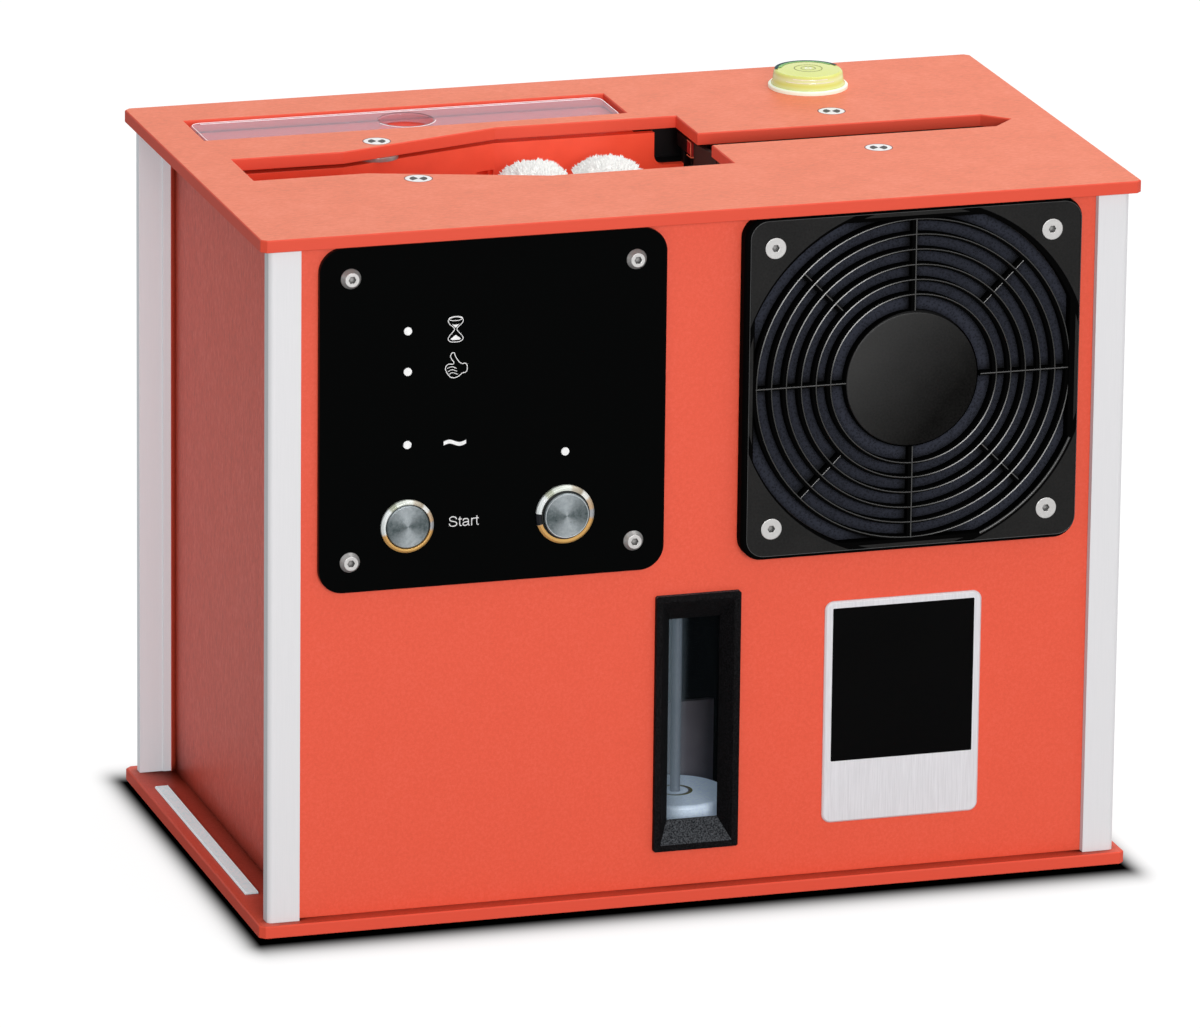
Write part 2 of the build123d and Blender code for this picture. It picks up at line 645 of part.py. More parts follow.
def wash_chamber():
    """The washing chamber with its flange, screw bosses, bushes and filter trough."""
    inner = CHAMBER_SET_BACK
    outer = well_outline(inner + WALL, CHAMBER_X_END + WALL)
    cavity = well_outline(inner, CHAMBER_X_END)
    left = -SIDE_X0
    body = prism(outer, CHAMBER_FLOOR, FLANGE_TOP)
    for y in (-TOP_SCREW_Y, TOP_SCREW_Y):
        body += rod(-TOP_SCREW_X, y, FLANGE_TOP - BOSS_H, FLANGE_TOP, BOSS_R)
    tx0, tx1, ty0, ty1 = trough_box()
    t = TROUGH_WALL
    body += slab(left, tx1 + t, ty0 - t, ty1 + t, FLANGE_TOP - TROUGH_H, FLANGE_TOP)
    flange_y = chamber_back() + 2
    body += slab(left, CHAMBER_X_END + WALL, -flange_y, chamber_back(), FLANGE_TOP - FLANGE_T, FLANGE_TOP)
    body += slab(left, tx1 + t, 0, ty0, FLANGE_TOP - FLANGE_T, FLANGE_TOP)
    body -= prism(cavity, FLOOR_TOP, FLANGE_TOP + 1)
    body -= slab(tx0, tx1, ty0, ty1, FLANGE_TOP - TROUGH_H + t, FLANGE_TOP + 1)
    body -= slab(CHAMBER_X_END - 1, CHAMBER_X_END + WALL + 1, -PASSAGE_HALF, PASSAGE_HALF,
                 PASSAGE_Z, FLANGE_TOP + 1)
    body -= slab(NOTCH_X0, CHAMBER_X_END - WALL, WELL_WIDE, chamber_back() + 1,
                 FLANGE_TOP - NOTCH_DEPTH, FLANGE_TOP + 1)
    for x in [WELL_X2 - back for back in OVERFLOW_BACK]:
        body -= slab(x - OVERFLOW_W / 2, x + OVERFLOW_W / 2, WELL_NARROW + OVERFLOW_H, WELL_WIDE + WALL,
                     OVERFLOW_Z, OVERFLOW_Z + OVERFLOW_H)
    body -= slab(left - CASE_W, left, -CASE_D, CASE_D, 0, TOP)
    body += slab(left, left + WALL / 2, -WELL_NARROW - 1, WELL_NARROW + 1, CHAMBER_FLOOR, FLANGE_TOP)
    for x, y in roller_centres():
        body += rod(x, y, FLOOR_TOP, FLOOR_TOP + BUSH_H - ROLLER_FOOT_GAP, BUSH_R)
        body -= rod(x, y, CHAMBER_FLOOR - 1, FLOOR_TOP + BUSH_H + 1, SHAFT_R + SLIP)
    for y in (-TOP_SCREW_Y, TOP_SCREW_Y):
        body -= rod(-TOP_SCREW_X, y, FLANGE_TOP - BOSS_H + 2, FLANGE_TOP + 1, M5_R + SLIP)
    wheel_x = RECORD_X - WHEEL_X
    axle = WELL_NARROW + CHAMBER_SET_BACK + WALL - 1
    body -= rod_y(wheel_x, WHEEL_Z, -axle, axle, PIN_R + SLIP)
    body -= rod(PUMP_X, PIPE_END_Y, CHAMBER_FLOOR - 1, FLOOR_TOP + 1, PIPE_BORE_R)
    return body


def chamber_back():
    """Distance of the wide part's outer wall faces from the record's plane."""
    return WELL_WIDE + CHAMBER_SET_BACK + WALL


def overflow_cup():
    """A small open cup behind the notch in the chamber's rear wall."""
    y0 = chamber_back()
    x1 = CHAMBER_X_END + WALL
    z0 = FLANGE_TOP - NOTCH_DEPTH - CUP_WALL
    cup = slab(NOTCH_X0 - CUP_WALL, x1, y0, y0 + CUP_DEPTH + CUP_WALL, z0, FLANGE_TOP)
    cup -= slab(NOTCH_X0, x1 - CUP_WALL, y0 - 1, y0 + CUP_DEPTH, z0 + CUP_WALL, FLANGE_TOP + 1)
    return cup


def filter_cassette():
    """A tray with a flat top that drops into the trough; the foam sits inside it."""
    x0, x1, y0, y1 = trough_box()
    g = FIT
    w = FIT + CASSETTE_WALL
    z1 = DECK - FIT
    z0 = FLANGE_TOP - TROUGH_H + TROUGH_WALL + FIT
    tray = slab(x0 + g, x1 - g, y0 + g, y1 - g, z0, z1)
    hollow = slab(x0 + w, x1 - w, y0 + w, y1 - w, z0 - 1, z1 - CASSETTE_WALL)
    return tray - hollow


def filter_foam():
    x0, x1, y0, y1 = trough_box()
    inset = FIT + CASSETTE_TOP
    z0 = FLANGE_TOP - TROUGH_H + TROUGH_WALL + FIT
    return slab(x0 + inset, x1 - inset, y0 + inset, y1 - inset, z0, DECK - FIT - CASSETTE_TOP)


def wiper_clip():
    """A U-section arm from the chamber's rear wall, open at the top, that holds the blade."""
    z1 = FLANGE_TOP - CLIP_DROP
    z0 = z1 - CLIP_H
    y1 = WELL_WIDE + CHAMBER_SET_BACK
    outer = slab(CLIP_X, CLIP_X + CLIP_W, CLIP_Y, y1, z0, z1)
    outer = fillet(outer.edges().filter_by(Axis.Y).group_by(Axis.Z)[0], 1.5)
    inner = slab(CLIP_X + CLIP_WALL, CLIP_X + CLIP_W - CLIP_WALL, CLIP_Y - 1, y1 + 1, z0 + CLIP_WALL, z1 + 1)
    return outer - inner


def wiper_lip():
    """A rubber blade: its root fills the clip, the blade in front of it reaches the record."""
    z1 = FLANGE_TOP - CLIP_DROP - 0.2
    x0 = CLIP_X + CLIP_WALL
    x1 = CLIP_X + CLIP_W - CLIP_WALL
    mid = (x0 + x1) / 2
    root = slab(x0, x1, CLIP_Y, WELL_WIDE - 2, z1 - CLIP_H + CLIP_WALL + 0.5, z1)
    outline = [(x0, CLIP_Y), (x0, CLIP_Y - 1.5), (mid + 0.5, LIP_TIP + 4), (mid + 1.5, LIP_TIP),
               (mid + 1.5 + LIP_T, LIP_TIP), (mid + 0.5 + LIP_T, LIP_TIP + 4), (x1, CLIP_Y - 1.5),
               (x1, CLIP_Y)]
    return root + prism(outline, z1 - LIP_H, z1)


# ------------------------------------------------------------------ rollers
def roller_centres():
    h = ROLLER_PITCH / 2
    return [(ROLLER_MID_X + sx * h, sy * h) for sy in (-1, 1) for sx in (-1, 1)]


def roller_core(x, y, tooth_at_zero):
    """A plastic core with its shaft and moulded gear."""
    z0 = FLOOR_TOP + BUSH_H
    core = rod(0, 0, z0, ROLLER_TOP - 1.5, ROLLER_CORE_R)
    core += rod(0, 0, GEAR_Z0 - 2, ROLLER_TOP, SHAFT_R)
    core += rod(0, 0, GEAR_Z0, CHAMBER_FLOOR - 0.3, SHAFT_R + 2)
    core += spur_gear(GEAR_TEETH, GEAR_Z0, GEAR_TOP, tooth_at_zero)
    return Pos(x, y, 0) * core


def roller_sleeve(x, y):
    """The microfibre sleeve on a core."""
    z0 = FLOOR_TOP + BUSH_H
    return rod(x, y, z0, ROLLER_TOP - 1.5, ROLLER_R) - rod(x, y, z0 - 1, ROLLER_TOP, ROLLER_CORE_R)


def roller_motor():
    """Gear motor below the chamber floor, hung on two spacers."""
    z1 = GEAR_Z0 - 3
    body = rod(PINION_X, PINION_Y, z1 - MOTOR_H, z1, MOTOR_R)
    body += rod(PINION_X, PINION_Y, z1 - MOTOR_H - 3, z1 - MOTOR_H, MOTOR_R / 2)
    for sx in (-1, 1):
        body += rod(PINION_X + sx * MOTOR_SPACER_X, PINION_Y, z1, CHAMBER_FLOOR, MOTOR_SPACER_R)
    body -= rod(PINION_X, PINION_Y, z1 - 9, z1 + 1, PIN_R + SLIP)
    return body


def roller_pinion():
    gear = spur_gear(PINION_TEETH, GEAR_Z0 - 0.5, GEAR_TOP + 0.5, False)
    gear += rod(0, 0, GEAR_Z0 - 11, GEAR_TOP + 0.5, PIN_R)
    return Pos(PINION_X, PINION_Y, 0) * gear


# ------------------------------------------------------------------ record wheels
def grooved_wheel():
    """A wheel round the Y axis with a V groove for the record's edge."""
    half = WHEEL_W / 2
    outline = [(0, -half), (WHEEL_R, -half), (WHEEL_R, -half + 1), (WHEEL_R - WHEEL_GROOVE, -0.6),
               (WHEEL_R - WHEEL_GROOVE, 0.6), (WHEEL_R, half - 1), (WHEEL_R, half), (0, half)]
    face = make_face(Polyline(*outline, close=True))
    return revolve(face, Axis.Y)


def idler_wheel():
    x = RECORD_X - WHEEL_X
    axle = WELL_NARROW + CHAMBER_SET_BACK + WALL - 1 - FIT
    return Pos(x, 0, WHEEL_Z) * grooved_wheel() + rod_y(x, WHEEL_Z, -axle, axle, PIN_R)


def drive_wheel():
    x = RECORD_X + WHEEL_X
    return Pos(x, 0, WHEEL_Z) * grooved_wheel() + rod_y(x, WHEEL_Z, 0, WEB_Y + WEB_T + 8, PIN_R)


def record_motor():
    x = RECORD_X + WHEEL_X
    y0 = WEB_Y + WEB_T
    body = rod_y(x, WHEEL_Z, y0, y0 + RECORD_MOTOR_L, RECORD_MOTOR_R)
    body += rod_y(x, WHEEL_Z, y0 + RECORD_MOTOR_L, y0 + RECORD_MOTOR_L + 3, RECORD_MOTOR_R / 2)
    return body - rod_y(x, WHEEL_Z, y0 - 1, y0 + 9, PIN_R + SLIP)


# ------------------------------------------------------------------ dryers
def dry_duct():
    """The air duct of the drying side, open to both fans and to the slot above."""
    w = DUCT_WALL
    y1 = FAN_BACK
    pocket_x0 = FAN_X - FAN_SIZE / 2 - w
    pocket_y0 = chamber_back() + CUP_DEPTH + CUP_WALL + FIT
    body = slab(DUCT_X0, DUCT_X1, -y1, y1, DUCT_Z0, FLANGE_TOP)
    inner = slab(DUCT_X0 + w, DUCT_X1 - w, -y1 - 1, y1 + 1, DUCT_Z0 + w, FLANGE_TOP - FLANGE_T)
    for sy in (-1, 1):
        ya, yb = sorted((sy * pocket_y0, sy * y1))
        body += slab(pocket_x0, DUCT_X0 + 1, ya, yb, DUCT_Z0, FLANGE_TOP)
        ya, yb = sorted((sy * (pocket_y0 + w), sy * (y1 + 1)))
        inner += slab(pocket_x0 + w, DUCT_X0 + w + 1, ya, yb, DUCT_Z0 + w, FLANGE_TOP - FLANGE_T)
    body -= inner
    body -= slab(DUCT_X0 - 1, DUCT_X0 + w + 1, -PASSAGE_HALF, PASSAGE_HALF, PASSAGE_Z, FLANGE_TOP + 1)
    body -= slab(DUCT_X0 - 1, DUCT_X1 - w, -SLOT_HALF, SLOT_HALF, FLANGE_TOP - FLANGE_T - 1, FLANGE_TOP + 1)
    for y in (-TOP_SCREW_Y, TOP_SCREW_Y):
        body += rod(TOP_SCREW_X, y, FLANGE_TOP - BOSS_H, FLANGE_TOP - 1, BOSS_R)
        body -= rod(TOP_SCREW_X, y, FLANGE_TOP - BOSS_H + 2, FLANGE_TOP + 1, M5_R + SLIP)
    x = RECORD_X + WHEEL_X
    body += slab(x - WEB_W / 2, x + WEB_W / 2, WEB_Y, WEB_Y + WEB_T, DUCT_Z0 + 1, WHEEL_Z + WEB_W / 2)
    body -= rod_y(x, WHEEL_Z, WEB_Y - 1, WEB_Y + WEB_T + 1, PIN_R + SLIP)
    return body


def guard_opening(shrink):
    """Outline of the guard's opening: a circle with four flats."""
    side = 2 * (GUARD_FLAT - shrink)
    return Circle(GUARD_OPEN_R - shrink) & Rectangle(side, side)


def guard_body():
    """A square guard with rings, spokes and a hub disc, its front face at +Z, centred on Z."""
    frame = extrude(RectangleRounded(GUARD_SIZE, GUARD_SIZE, GUARD_ROUND), GUARD_T)
    frame = chamfer(frame.faces().sort_by(Axis.Z)[-1].edges(), GUARD_EDGE)
    frame -= extrude(guard_opening(0), GUARD_T)
    z0 = GUARD_T - GUARD_RING_D - GUARD_RING_SET
    z1 = GUARD_T - GUARD_RING_SET
    h = GUARD_RING_D
    for r in GUARD_RING_R:
        ring = Circle(r + GUARD_RING_W / 2) - Circle(r - GUARD_RING_W / 2)
        frame += Pos(0, 0, z0) * extrude(ring, h)
    hub = Pos(0, 0, GUARD_T - GUARD_HUB_D) * extrude(Circle(GUARD_HUB_R), GUARD_HUB_D - GUARD_HUB_SET)
    frame += chamfer(hub.edges().sort_by(Axis.Z)[-1], GUARD_EDGE)
    long_bar = 2 * GUARD_FLAT + 1
    frame += Pos(0, 0, (z0 + z1) / 2) * Box(long_bar, GUARD_RING_W, h)
    frame += Pos(0, 0, (z0 + z1) / 2) * Box(GUARD_RING_W, long_bar, h)
    spoke_l = GUARD_RING_R[0] - GUARD_RING_R[4]
    spoke_mid = (GUARD_RING_R[0] + GUARD_RING_R[4]) / 2
    for a in (45, 135, 225, 315):
        frame += Rot(0, 0, a) * Pos(spoke_mid, 0, z0 + h / 2 - 0.3) * Box(spoke_l, GUARD_RING_W, h - 0.6)
    for sx in (-1, 1):
        for sy in (-1, 1):
            frame -= countersink_cut(sx * FAN_PITCH / 2, sy * FAN_PITCH / 2, GUARD_T,
                                     M4_HEAD_R, M4_HEAD_H, M4_R, GUARD_T)
    return frame


def fan_guard():
    return Pos(FAN_X, -PANEL_Y1, FAN_Z) * facing_front(guard_body())


def fan_screws():
    """Countersunk screws through guard, panel and fan frame."""
    length = GUARD_T + PANEL_T + 10
    screws = []
    for x, z in fan_screw_centres():
        screw = countersunk(0, 0, GUARD_T, M4_HEAD_R, M4_HEAD_H, M4_R, length, M4_HEX)
        screws += mirrored(Pos(x, -PANEL_Y1, z) * facing_front(screw))
    return screws


def fan_foam():
    """Filter foam that fills the front guard's opening behind the rings, and the panel's air hole."""
    sheet = extrude(guard_opening(FIT), GUARD_T - GUARD_RING_D - GUARD_RING_SET - FOAM_GAP)
    sheet += Pos(0, 0, -PANEL_T) * extrude(Circle(AIR_HOLE_R - FIT), PANEL_T)
    return Pos(FAN_X, -PANEL_Y1, FAN_Z) * facing_front(sheet)


def fan_frame():
    """A 120 mm fan frame with three struts and a motor boss, on the front panel."""
    h = FAN_SIZE
    frame = extrude(RectangleRounded(h, h, FAN_ROUND), FAN_T)
    frame -= extrude(Circle(FAN_BORE_R), FAN_T)
    for sx in (-1, 1):
        for sy in (-1, 1):
            p = FAN_PITCH / 2
            frame -= Pos(sx * p, sy * p, 0) * extrude(Circle(M4_R + 0.15), FAN_T)
    strut_t = 3.0
    for a in (90, 210, 330):
        frame += Rot(0, 0, a) * Pos(FAN_BORE_R / 2 + 5, 0, strut_t / 2) * Box(FAN_BORE_R - 8, 4, strut_t)
    frame += extrude(Circle(FAN_HUB_R), strut_t)
    frame += Pos(0, 0, strut_t) * extrude(Circle(FAN_HUB_R / 2), 12)
    frame -= Pos(0, 0, 1) * extrude(Circle(PIN_R + SLIP), FAN_T)
    return Pos(FAN_X, -FAN_BACK, FAN_Z) * facing_front(frame)


def fan_rotor():
    """A hub with tilted blades that turns on the motor boss."""
    z0 = 4.0
    hub_h = 19.0
    hub = Pos(0, 0, z0) * extrude(Circle(FAN_HUB_R), hub_h)
    hub -= Pos(0, 0, z0) * extrude(Circle(FAN_HUB_R / 2 + 1), hub_h - 3)
    rotor = hub + Pos(0, 0, 2) * extrude(Circle(PIN_R), z0 + hub_h - 3)
    tip = FAN_BORE_R - 1.5
    for i in range(FAN_BLADES):
        blade = Pos((FAN_HUB_R + tip) / 2 - 0.5, 0, z0 + hub_h / 2)
        blade = blade * Rot(32, 0, 0) * Box(tip - FAN_HUB_R + 1, BLADE_W, BLADE_T)
        rotor += Rot(0, 0, 360 * i / FAN_BLADES) * blade
    disc = Pos(0, 0, z0 - 3) * extrude(Circle(tip), hub_h + 3)
    rotor = rotor & disc
    return Pos(FAN_X, -FAN_BACK, FAN_Z) * facing_front(rotor)


# ------------------------------------------------------------------ control plate
def lamp_centres():
    return [(START_X, z) for z in LAMP_Z_LEFT] + [(MODE_X, LAMP_Z_RIGHT)]


def control_screw_centres():
    half = CONTROL_W / 2 - CONTROL_SCREW_END
    return [(CONTROL_X + sx * half, CONTROL_Z + sz * CONTROL_SCREW_Z) for sx in (-1, 1) for sz in (-1, 1)]


def control_plate():
    plate = rounded_slab_y(CONTROL_X, CONTROL_Z, CONTROL_W, CONTROL_H, CONTROL_ROUND,
                           -CONTROL_FACE, -PANEL_Y1)
    for x, cap_r in ((START_X, START_CAP_R), (MODE_X, MODE_CAP_R)):
        plate -= rod_y(x, BUTTON_Z, -CONTROL_FACE - 1, -PANEL_Y1 + 1, barrel_radius(cap_r) + BARREL_FIT)
    for x, z in lamp_centres():
        plate -= rod_y(x, z, -CONTROL_FACE - 1, -PANEL_Y1 + 1, LAMP_R + SLIP)
    for x, z in control_screw_centres():
        plate -= rod_y(x, z, -CONTROL_FACE - 1, -PANEL_Y1 + 1, M4_R + SLIP)
    return plate


def control_plate_screws():
    """Button-head screws of the control plate."""
    dome = Pos(0, 0, BUTTON_HEAD_H / 2) * Cone(BUTTON_HEAD_R, BUTTON_HEAD_R - 1.2, BUTTON_HEAD_H)
    shank_l = CONTROL_T + PANEL_T + 4
    dome += Pos(0, 0, -shank_l / 2) * Cylinder(M4_R, shank_l)
    socket = Pos(0, 0, BUTTON_HEAD_H) * extrude(RegularPolygon(M4_HEX / 2, 6, major_radius=False), -1.3)
    screw = dome - socket
    return [Pos(x, -CONTROL_FACE, z) * facing_front(screw) for x, z in control_screw_centres()]


def indicator_lamps():
    face = CONTROL_FACE + 0.3
    return [rod_y(x, z, -face, -face + LAMP_L, LAMP_R) for x, z in lamp_centres()]


def barrel_radius(cap_r):
    return cap_r + BUTTON_GAP + BARREL_WALL


def button_housing(x, ring_r, cap_r):
    """A bezel ring, a threaded barrel and its nut behind the panel."""
    barrel_r = barrel_radius(cap_r)
    body = rod_y(x, BUTTON_Z, -CONTROL_FACE - RING_H, -CONTROL_FACE, ring_r)
    body = chamfer(body.edges().sort_by(Axis.Y)[0], 0.8)
    body += rod_y(x, BUTTON_Z, -CONTROL_FACE - 0.5, -CONTROL_FACE + BARREL_L, barrel_r)
    body += rod_y(x, BUTTON_Z, -PANEL_Y0, -PANEL_Y0 + NUT_T, barrel_r + 3)
    body -= rod_y(x, BUTTON_Z, -CONTROL_FACE - RING_H - 1, -CONTROL_FACE + CAP_WELL, cap_r + BUTTON_GAP)
    return body - rod_y(x, BUTTON_Z, -CONTROL_FACE, -CONTROL_FACE + BARREL_L - 2, PIN_R + SLIP)


def button_cap(x, cap_r, proud):
    """The metal button with its plunger."""
    back = -CONTROL_FACE + CAP_SEAT
    cap = rod_y(x, BUTTON_Z, -CONTROL_FACE - proud, back, cap_r)
    cap = chamfer(cap.edges().sort_by(Axis.Y)[0], 0.4)
    return cap + rod_y(x, BUTTON_Z, back - 0.1, -CONTROL_FACE + BARREL_L - 5, PIN_R)


def circuit_board():
    """The control board on four standoffs behind the front panel, with its main parts."""
    y0 = -PANEL_Y0 + BOARD_STAND
    x0 = CONTROL_X0 + BOARD_END
    x1 = CONTROL_X1 - BOARD_END
    z0 = CONTROL_Z - BOARD_H / 2
    z1 = CONTROL_Z + BOARD_H / 2
    board = slab(x0, x1, y0, y0 + BOARD_T, z0, z1)
    for x in (x0 + STANDOFF_INSET, x1 - STANDOFF_INSET):
        for z in (z0 + STANDOFF_INSET, z1 - STANDOFF_INSET):
            board += rod_y(x, z, -PANEL_Y0, y0, STANDOFF_R)
    chip = CHIP_SIZE / 2
    board += slab(CONTROL_X - chip, CONTROL_X + chip, y0 - CHIP_T, y0, CONTROL_Z, CONTROL_Z + CHIP_SIZE)
    side = CONTROL_X + BOARD_STEP
    board += slab(side - CONNECTOR_L / 2, side + CONNECTOR_L / 2, y0 - CONNECTOR_D, y0,
                  CONTROL_Z - BOARD_STEP, CONTROL_Z - BOARD_STEP + CONNECTOR_H)
    for z in (CONTROL_Z + CAPACITOR_R, CONTROL_Z + 4 * CAPACITOR_R):
        board += rod_y(side, z, y0 - CAPACITOR_L, y0, CAPACITOR_R)
    return board


# ------------------------------------------------------------------ window, tank and float
def window_bezel():
    """A frame with sloping sides that leads down to the pane."""
    face = PANEL_Y1 + BEZEL_PROUD
    body = slab(WINDOW_X - BEZEL_W / 2, WINDOW_X + BEZEL_W / 2, -face, -PANEL_Y1,
                WINDOW_Z - BEZEL_H / 2, WINDOW_Z + BEZEL_H / 2)
    body = chamfer(body.edges().filter_by(Axis.Y), 0.6)
    inset = BEZEL_RIM - FIT / 2
    body += slab(WINDOW_X - BEZEL_W / 2 + inset, WINDOW_X + BEZEL_W / 2 - inset, -PANEL_Y1, -VIEW_FACE,
                 WINDOW_Z - BEZEL_H / 2 + inset, WINDOW_Z + BEZEL_H / 2 - inset)
    mouth_w = BEZEL_W - 2 * BEZEL_RIM
    mouth_h = BEZEL_H - 2 * BEZEL_RIM
    front = Plane(origin=(WINDOW_X, -face, WINDOW_Z), x_dir=(1, 0, 0), z_dir=(0, 1, 0))
    back = Plane(origin=(WINDOW_X, -VIEW_FACE, WINDOW_Z), x_dir=(1, 0, 0), z_dir=(0, 1, 0))
    funnel = loft([front * Rectangle(mouth_w, mouth_h), back * Rectangle(VIEW_W, VIEW_H)])
    return body - funnel


def window_pane():
    inset = BEZEL_RIM
    w = BEZEL_W - 2 * inset
    h = BEZEL_H - 2 * inset
    return slab(WINDOW_X - w / 2, WINDOW_X + w / 2, -VIEW_FACE, -PANE_BACK,
                WINDOW_Z - h / 2, WINDOW_Z + h / 2)


def water_tank():
    """A closed tank with a viewing cut-out, a return port, a baffle and the drain spigot."""
    t = TANK_WALL
    body = slab(TANK_X0, TANK_X1, TANK_FRONT, TANK_Y1, BASE_TOP, TANK_TOP)
    body -= slab(TANK_X0 + t, TANK_X1 - t, TANK_FRONT + t, TANK_Y1 - t, BASE_TOP + t, TANK_TOP - t)
    body -= slab(WINDOW_X - VIEW_W / 2 - 1, WINDOW_X + VIEW_W / 2 + 1, TANK_FRONT - 1, TANK_FRONT + t + 1,
                 WINDOW_Z - VIEW_H / 2 - 1, WINDOW_Z + VIEW_H / 2 + 1)
    body -= slab(PORT_X - PORT_W / 2, PORT_X + PORT_W / 2, PORT_Y - PORT_D / 2, PORT_Y + PORT_D / 2,
                 TANK_TOP - t - 1, TANK_TOP + 1)
    body += slab(BAFFLE_X0, BAFFLE_X1, BAFFLE_Y, BAFFLE_Y + BAFFLE_T, BASE_TOP + 1, BAFFLE_TOP)
    spigot_end = PANEL_Y1 + DRAIN_PROUD
    body += rod_y(DRAIN_X, DRAIN_Z, TANK_Y1 - 1, spigot_end, DRAIN_R)
    return body - rod_y(DRAIN_X, DRAIN_Z, TANK_Y1 - t - 1, spigot_end + 1, DRAIN_BORE_R)


def float_stem():
    """The guide stem of the float, with its lower stop."""
    floor = BASE_TOP + TANK_WALL
    stem = rod(FLOAT_X, FLOAT_Y, floor, TANK_TOP - TANK_WALL, STEM_R)
    return stem + rod(FLOAT_X, FLOAT_Y, FLOAT_Z - FIT - STOP_H, FLOAT_Z - FIT, STOP_R)


def float_disc():
    disc = rod(FLOAT_X, FLOAT_Y, FLOAT_Z, FLOAT_Z + FLOAT_H, FLOAT_R)
    disc = fillet(disc.edges().filter_by(GeomType.CIRCLE), 1.5)
    return disc - rod(FLOAT_X, FLOAT_Y, FLOAT_Z - 1, FLOAT_Z + FLOAT_H + 1, STEM_R + FIT)


def badge_plate():
    """A bare metal plate with a bevelled edge."""
    plate = rounded_slab_y(FAN_X, BADGE_Z, BADGE_W, BADGE_H, BADGE_ROUND, -PANEL_Y1 - BADGE_T, -PANEL_Y1)
    return chamfer(plate.faces().sort_by(Axis.Y)[0].edges(), 0.6)


def ledge_strip():
    strip = slab(STRIP_X - STRIP_W / 2, STRIP_X + STRIP_W / 2, STRIP_Y0, STRIP_Y1,
                 BASE_TOP, BASE_TOP + STRIP_T)
    return chamfer(strip.faces().sort_by(Axis.Z)[-1].edges(), 0.3)


# ------------------------------------------------------------------ transducer, pump, pipe
def ultrasonic_transducer():
    """Horn, ceramic stack, back mass and bolt, bonded to the front wall of the narrow part."""
    wall = WELL_NARROW + CHAMBER_SET_BACK + WALL
    stack = Pos(0, 0, HORN_L / 2) * Cone(HORN_R, HORN_TIP_R, HORN_L)
    mass_z = HORN_L + 2 * RING_STACK_T
    stack += Pos(0, 0, HORN_L) * extrude(Circle(RING_STACK_R - 1), 2 * RING_STACK_T)
    stack += Pos(0, 0, mass_z) * extrude(Circle(RING_STACK_R), BACK_MASS_L)
    stack += Pos(0, 0, mass_z + BACK_MASS_L) * extrude(RegularPolygon(5, 6), 3)
    return Pos(HORN_X, -wall, HORN_Z) * facing_front(stack)


def pump():
    body = rod(PUMP_X, PUMP_Y, BASE_TOP, BASE_TOP + PUMP_H, PUMP_R)
    body += rod_y(PUMP_X, PUMP_INLET_Z, TANK_Y1, PUMP_Y, PIPE_R)
    return body + rod(PUMP_X, PUMP_Y, BASE_TOP + PUMP_H, BASE_TOP + PUMP_H + 6, PIPE_R)


def riser_pipe():
    """The pipe from the pump up to the chamber floor."""
    z0 = BASE_TOP + PUMP_H + 6
    path = FilletPolyline((PUMP_X, PUMP_Y, z0), (PUMP_X, PUMP_Y, PIPE_RUN_Z),
                          (PUMP_X, PIPE_END_Y, PIPE_RUN_Z), (PUMP_X, PIPE_END_Y, CHAMBER_FLOOR),
                          radius=PIPE_BEND)
    section = Plane(origin=(PUMP_X, PUMP_Y, z0), z_dir=(0, 0, 1)) * (Circle(PIPE_R) - Circle(PIPE_BORE_R))
    return sweep(section, path=path)


# ------------------------------------------------------------------ rear fittings
def power_inlet():
    """A round low-voltage inlet with a centre pin, on the rear panel."""
    body = rod_y(INLET_X, INLET_Z, PANEL_Y1, PANEL_Y1 + INLET_PROUD, INLET_R)
    body += rod_y(INLET_X, INLET_Z, PANEL_Y1 - INLET_L, PANEL_Y1, INLET_R - 2)
    body -= rod_y(INLET_X, INLET_Z, PANEL_Y1 - INLET_L + 6, PANEL_Y1 + INLET_PROUD + 1, INLET_BORE_R)
    return body + rod_y(INLET_X, INLET_Z, PANEL_Y1 - INLET_L + 5, PANEL_Y1 - 1, INLET_PIN_R)


def switch_housing():
    """A snap-in housing with a rim round the rocker."""
    w = SWITCH_W - 2 * SWITCH_RIM
    h = SWITCH_H - 2 * SWITCH_RIM
    face = PANEL_Y1 + SWITCH_PROUD
    body = slab(SWITCH_X - SWITCH_W / 2, SWITCH_X + SWITCH_W / 2, PANEL_Y1, face,
                SWITCH_Z - SWITCH_H / 2, SWITCH_Z + SWITCH_H / 2)
    body += slab(SWITCH_X - w / 2, SWITCH_X + w / 2, PANEL_Y1 - SWITCH_L, PANEL_Y1,
                 SWITCH_Z - h / 2, SWITCH_Z + h / 2)
    body -= slab(SWITCH_X - w / 2 + 1.5, SWITCH_X + w / 2 - 1.5, PANEL_Y1 - 10, face + 1,
                 SWITCH_Z - h / 2 + 1.5, SWITCH_Z + h / 2 - 1.5)
    pivot = rocker_pivot()
    reach = w / 2 - 0.5
    return body - (Pos(SWITCH_X, pivot, SWITCH_Z) * Rot(0, 90, 0) * Cylinder(1.2 + SLIP, 2 * reach))


def rocker_pivot():
    return PANEL_Y1 - 3.0


def switch_rocker():
    """The rocker, stored tilted about its pivot, with two pivot pins."""
    w = SWITCH_W - 2 * SWITCH_RIM - 3 - 2 * FIT
    h = SWITCH_H - 2 * SWITCH_RIM - 3 - 2.4
    depth = 5.0
    body = Pos(0, depth / 2 - 0.8, 0) * Box(w, depth, h)
    body += Rot(0, 90, 0) * Cylinder(1.2, SWITCH_W - 2 * SWITCH_RIM - 1 - 2 * FIT)
    return Pos(SWITCH_X, rocker_pivot(), SWITCH_Z) * Rot(ROCKER_TILT / 2, 0, 0) * body


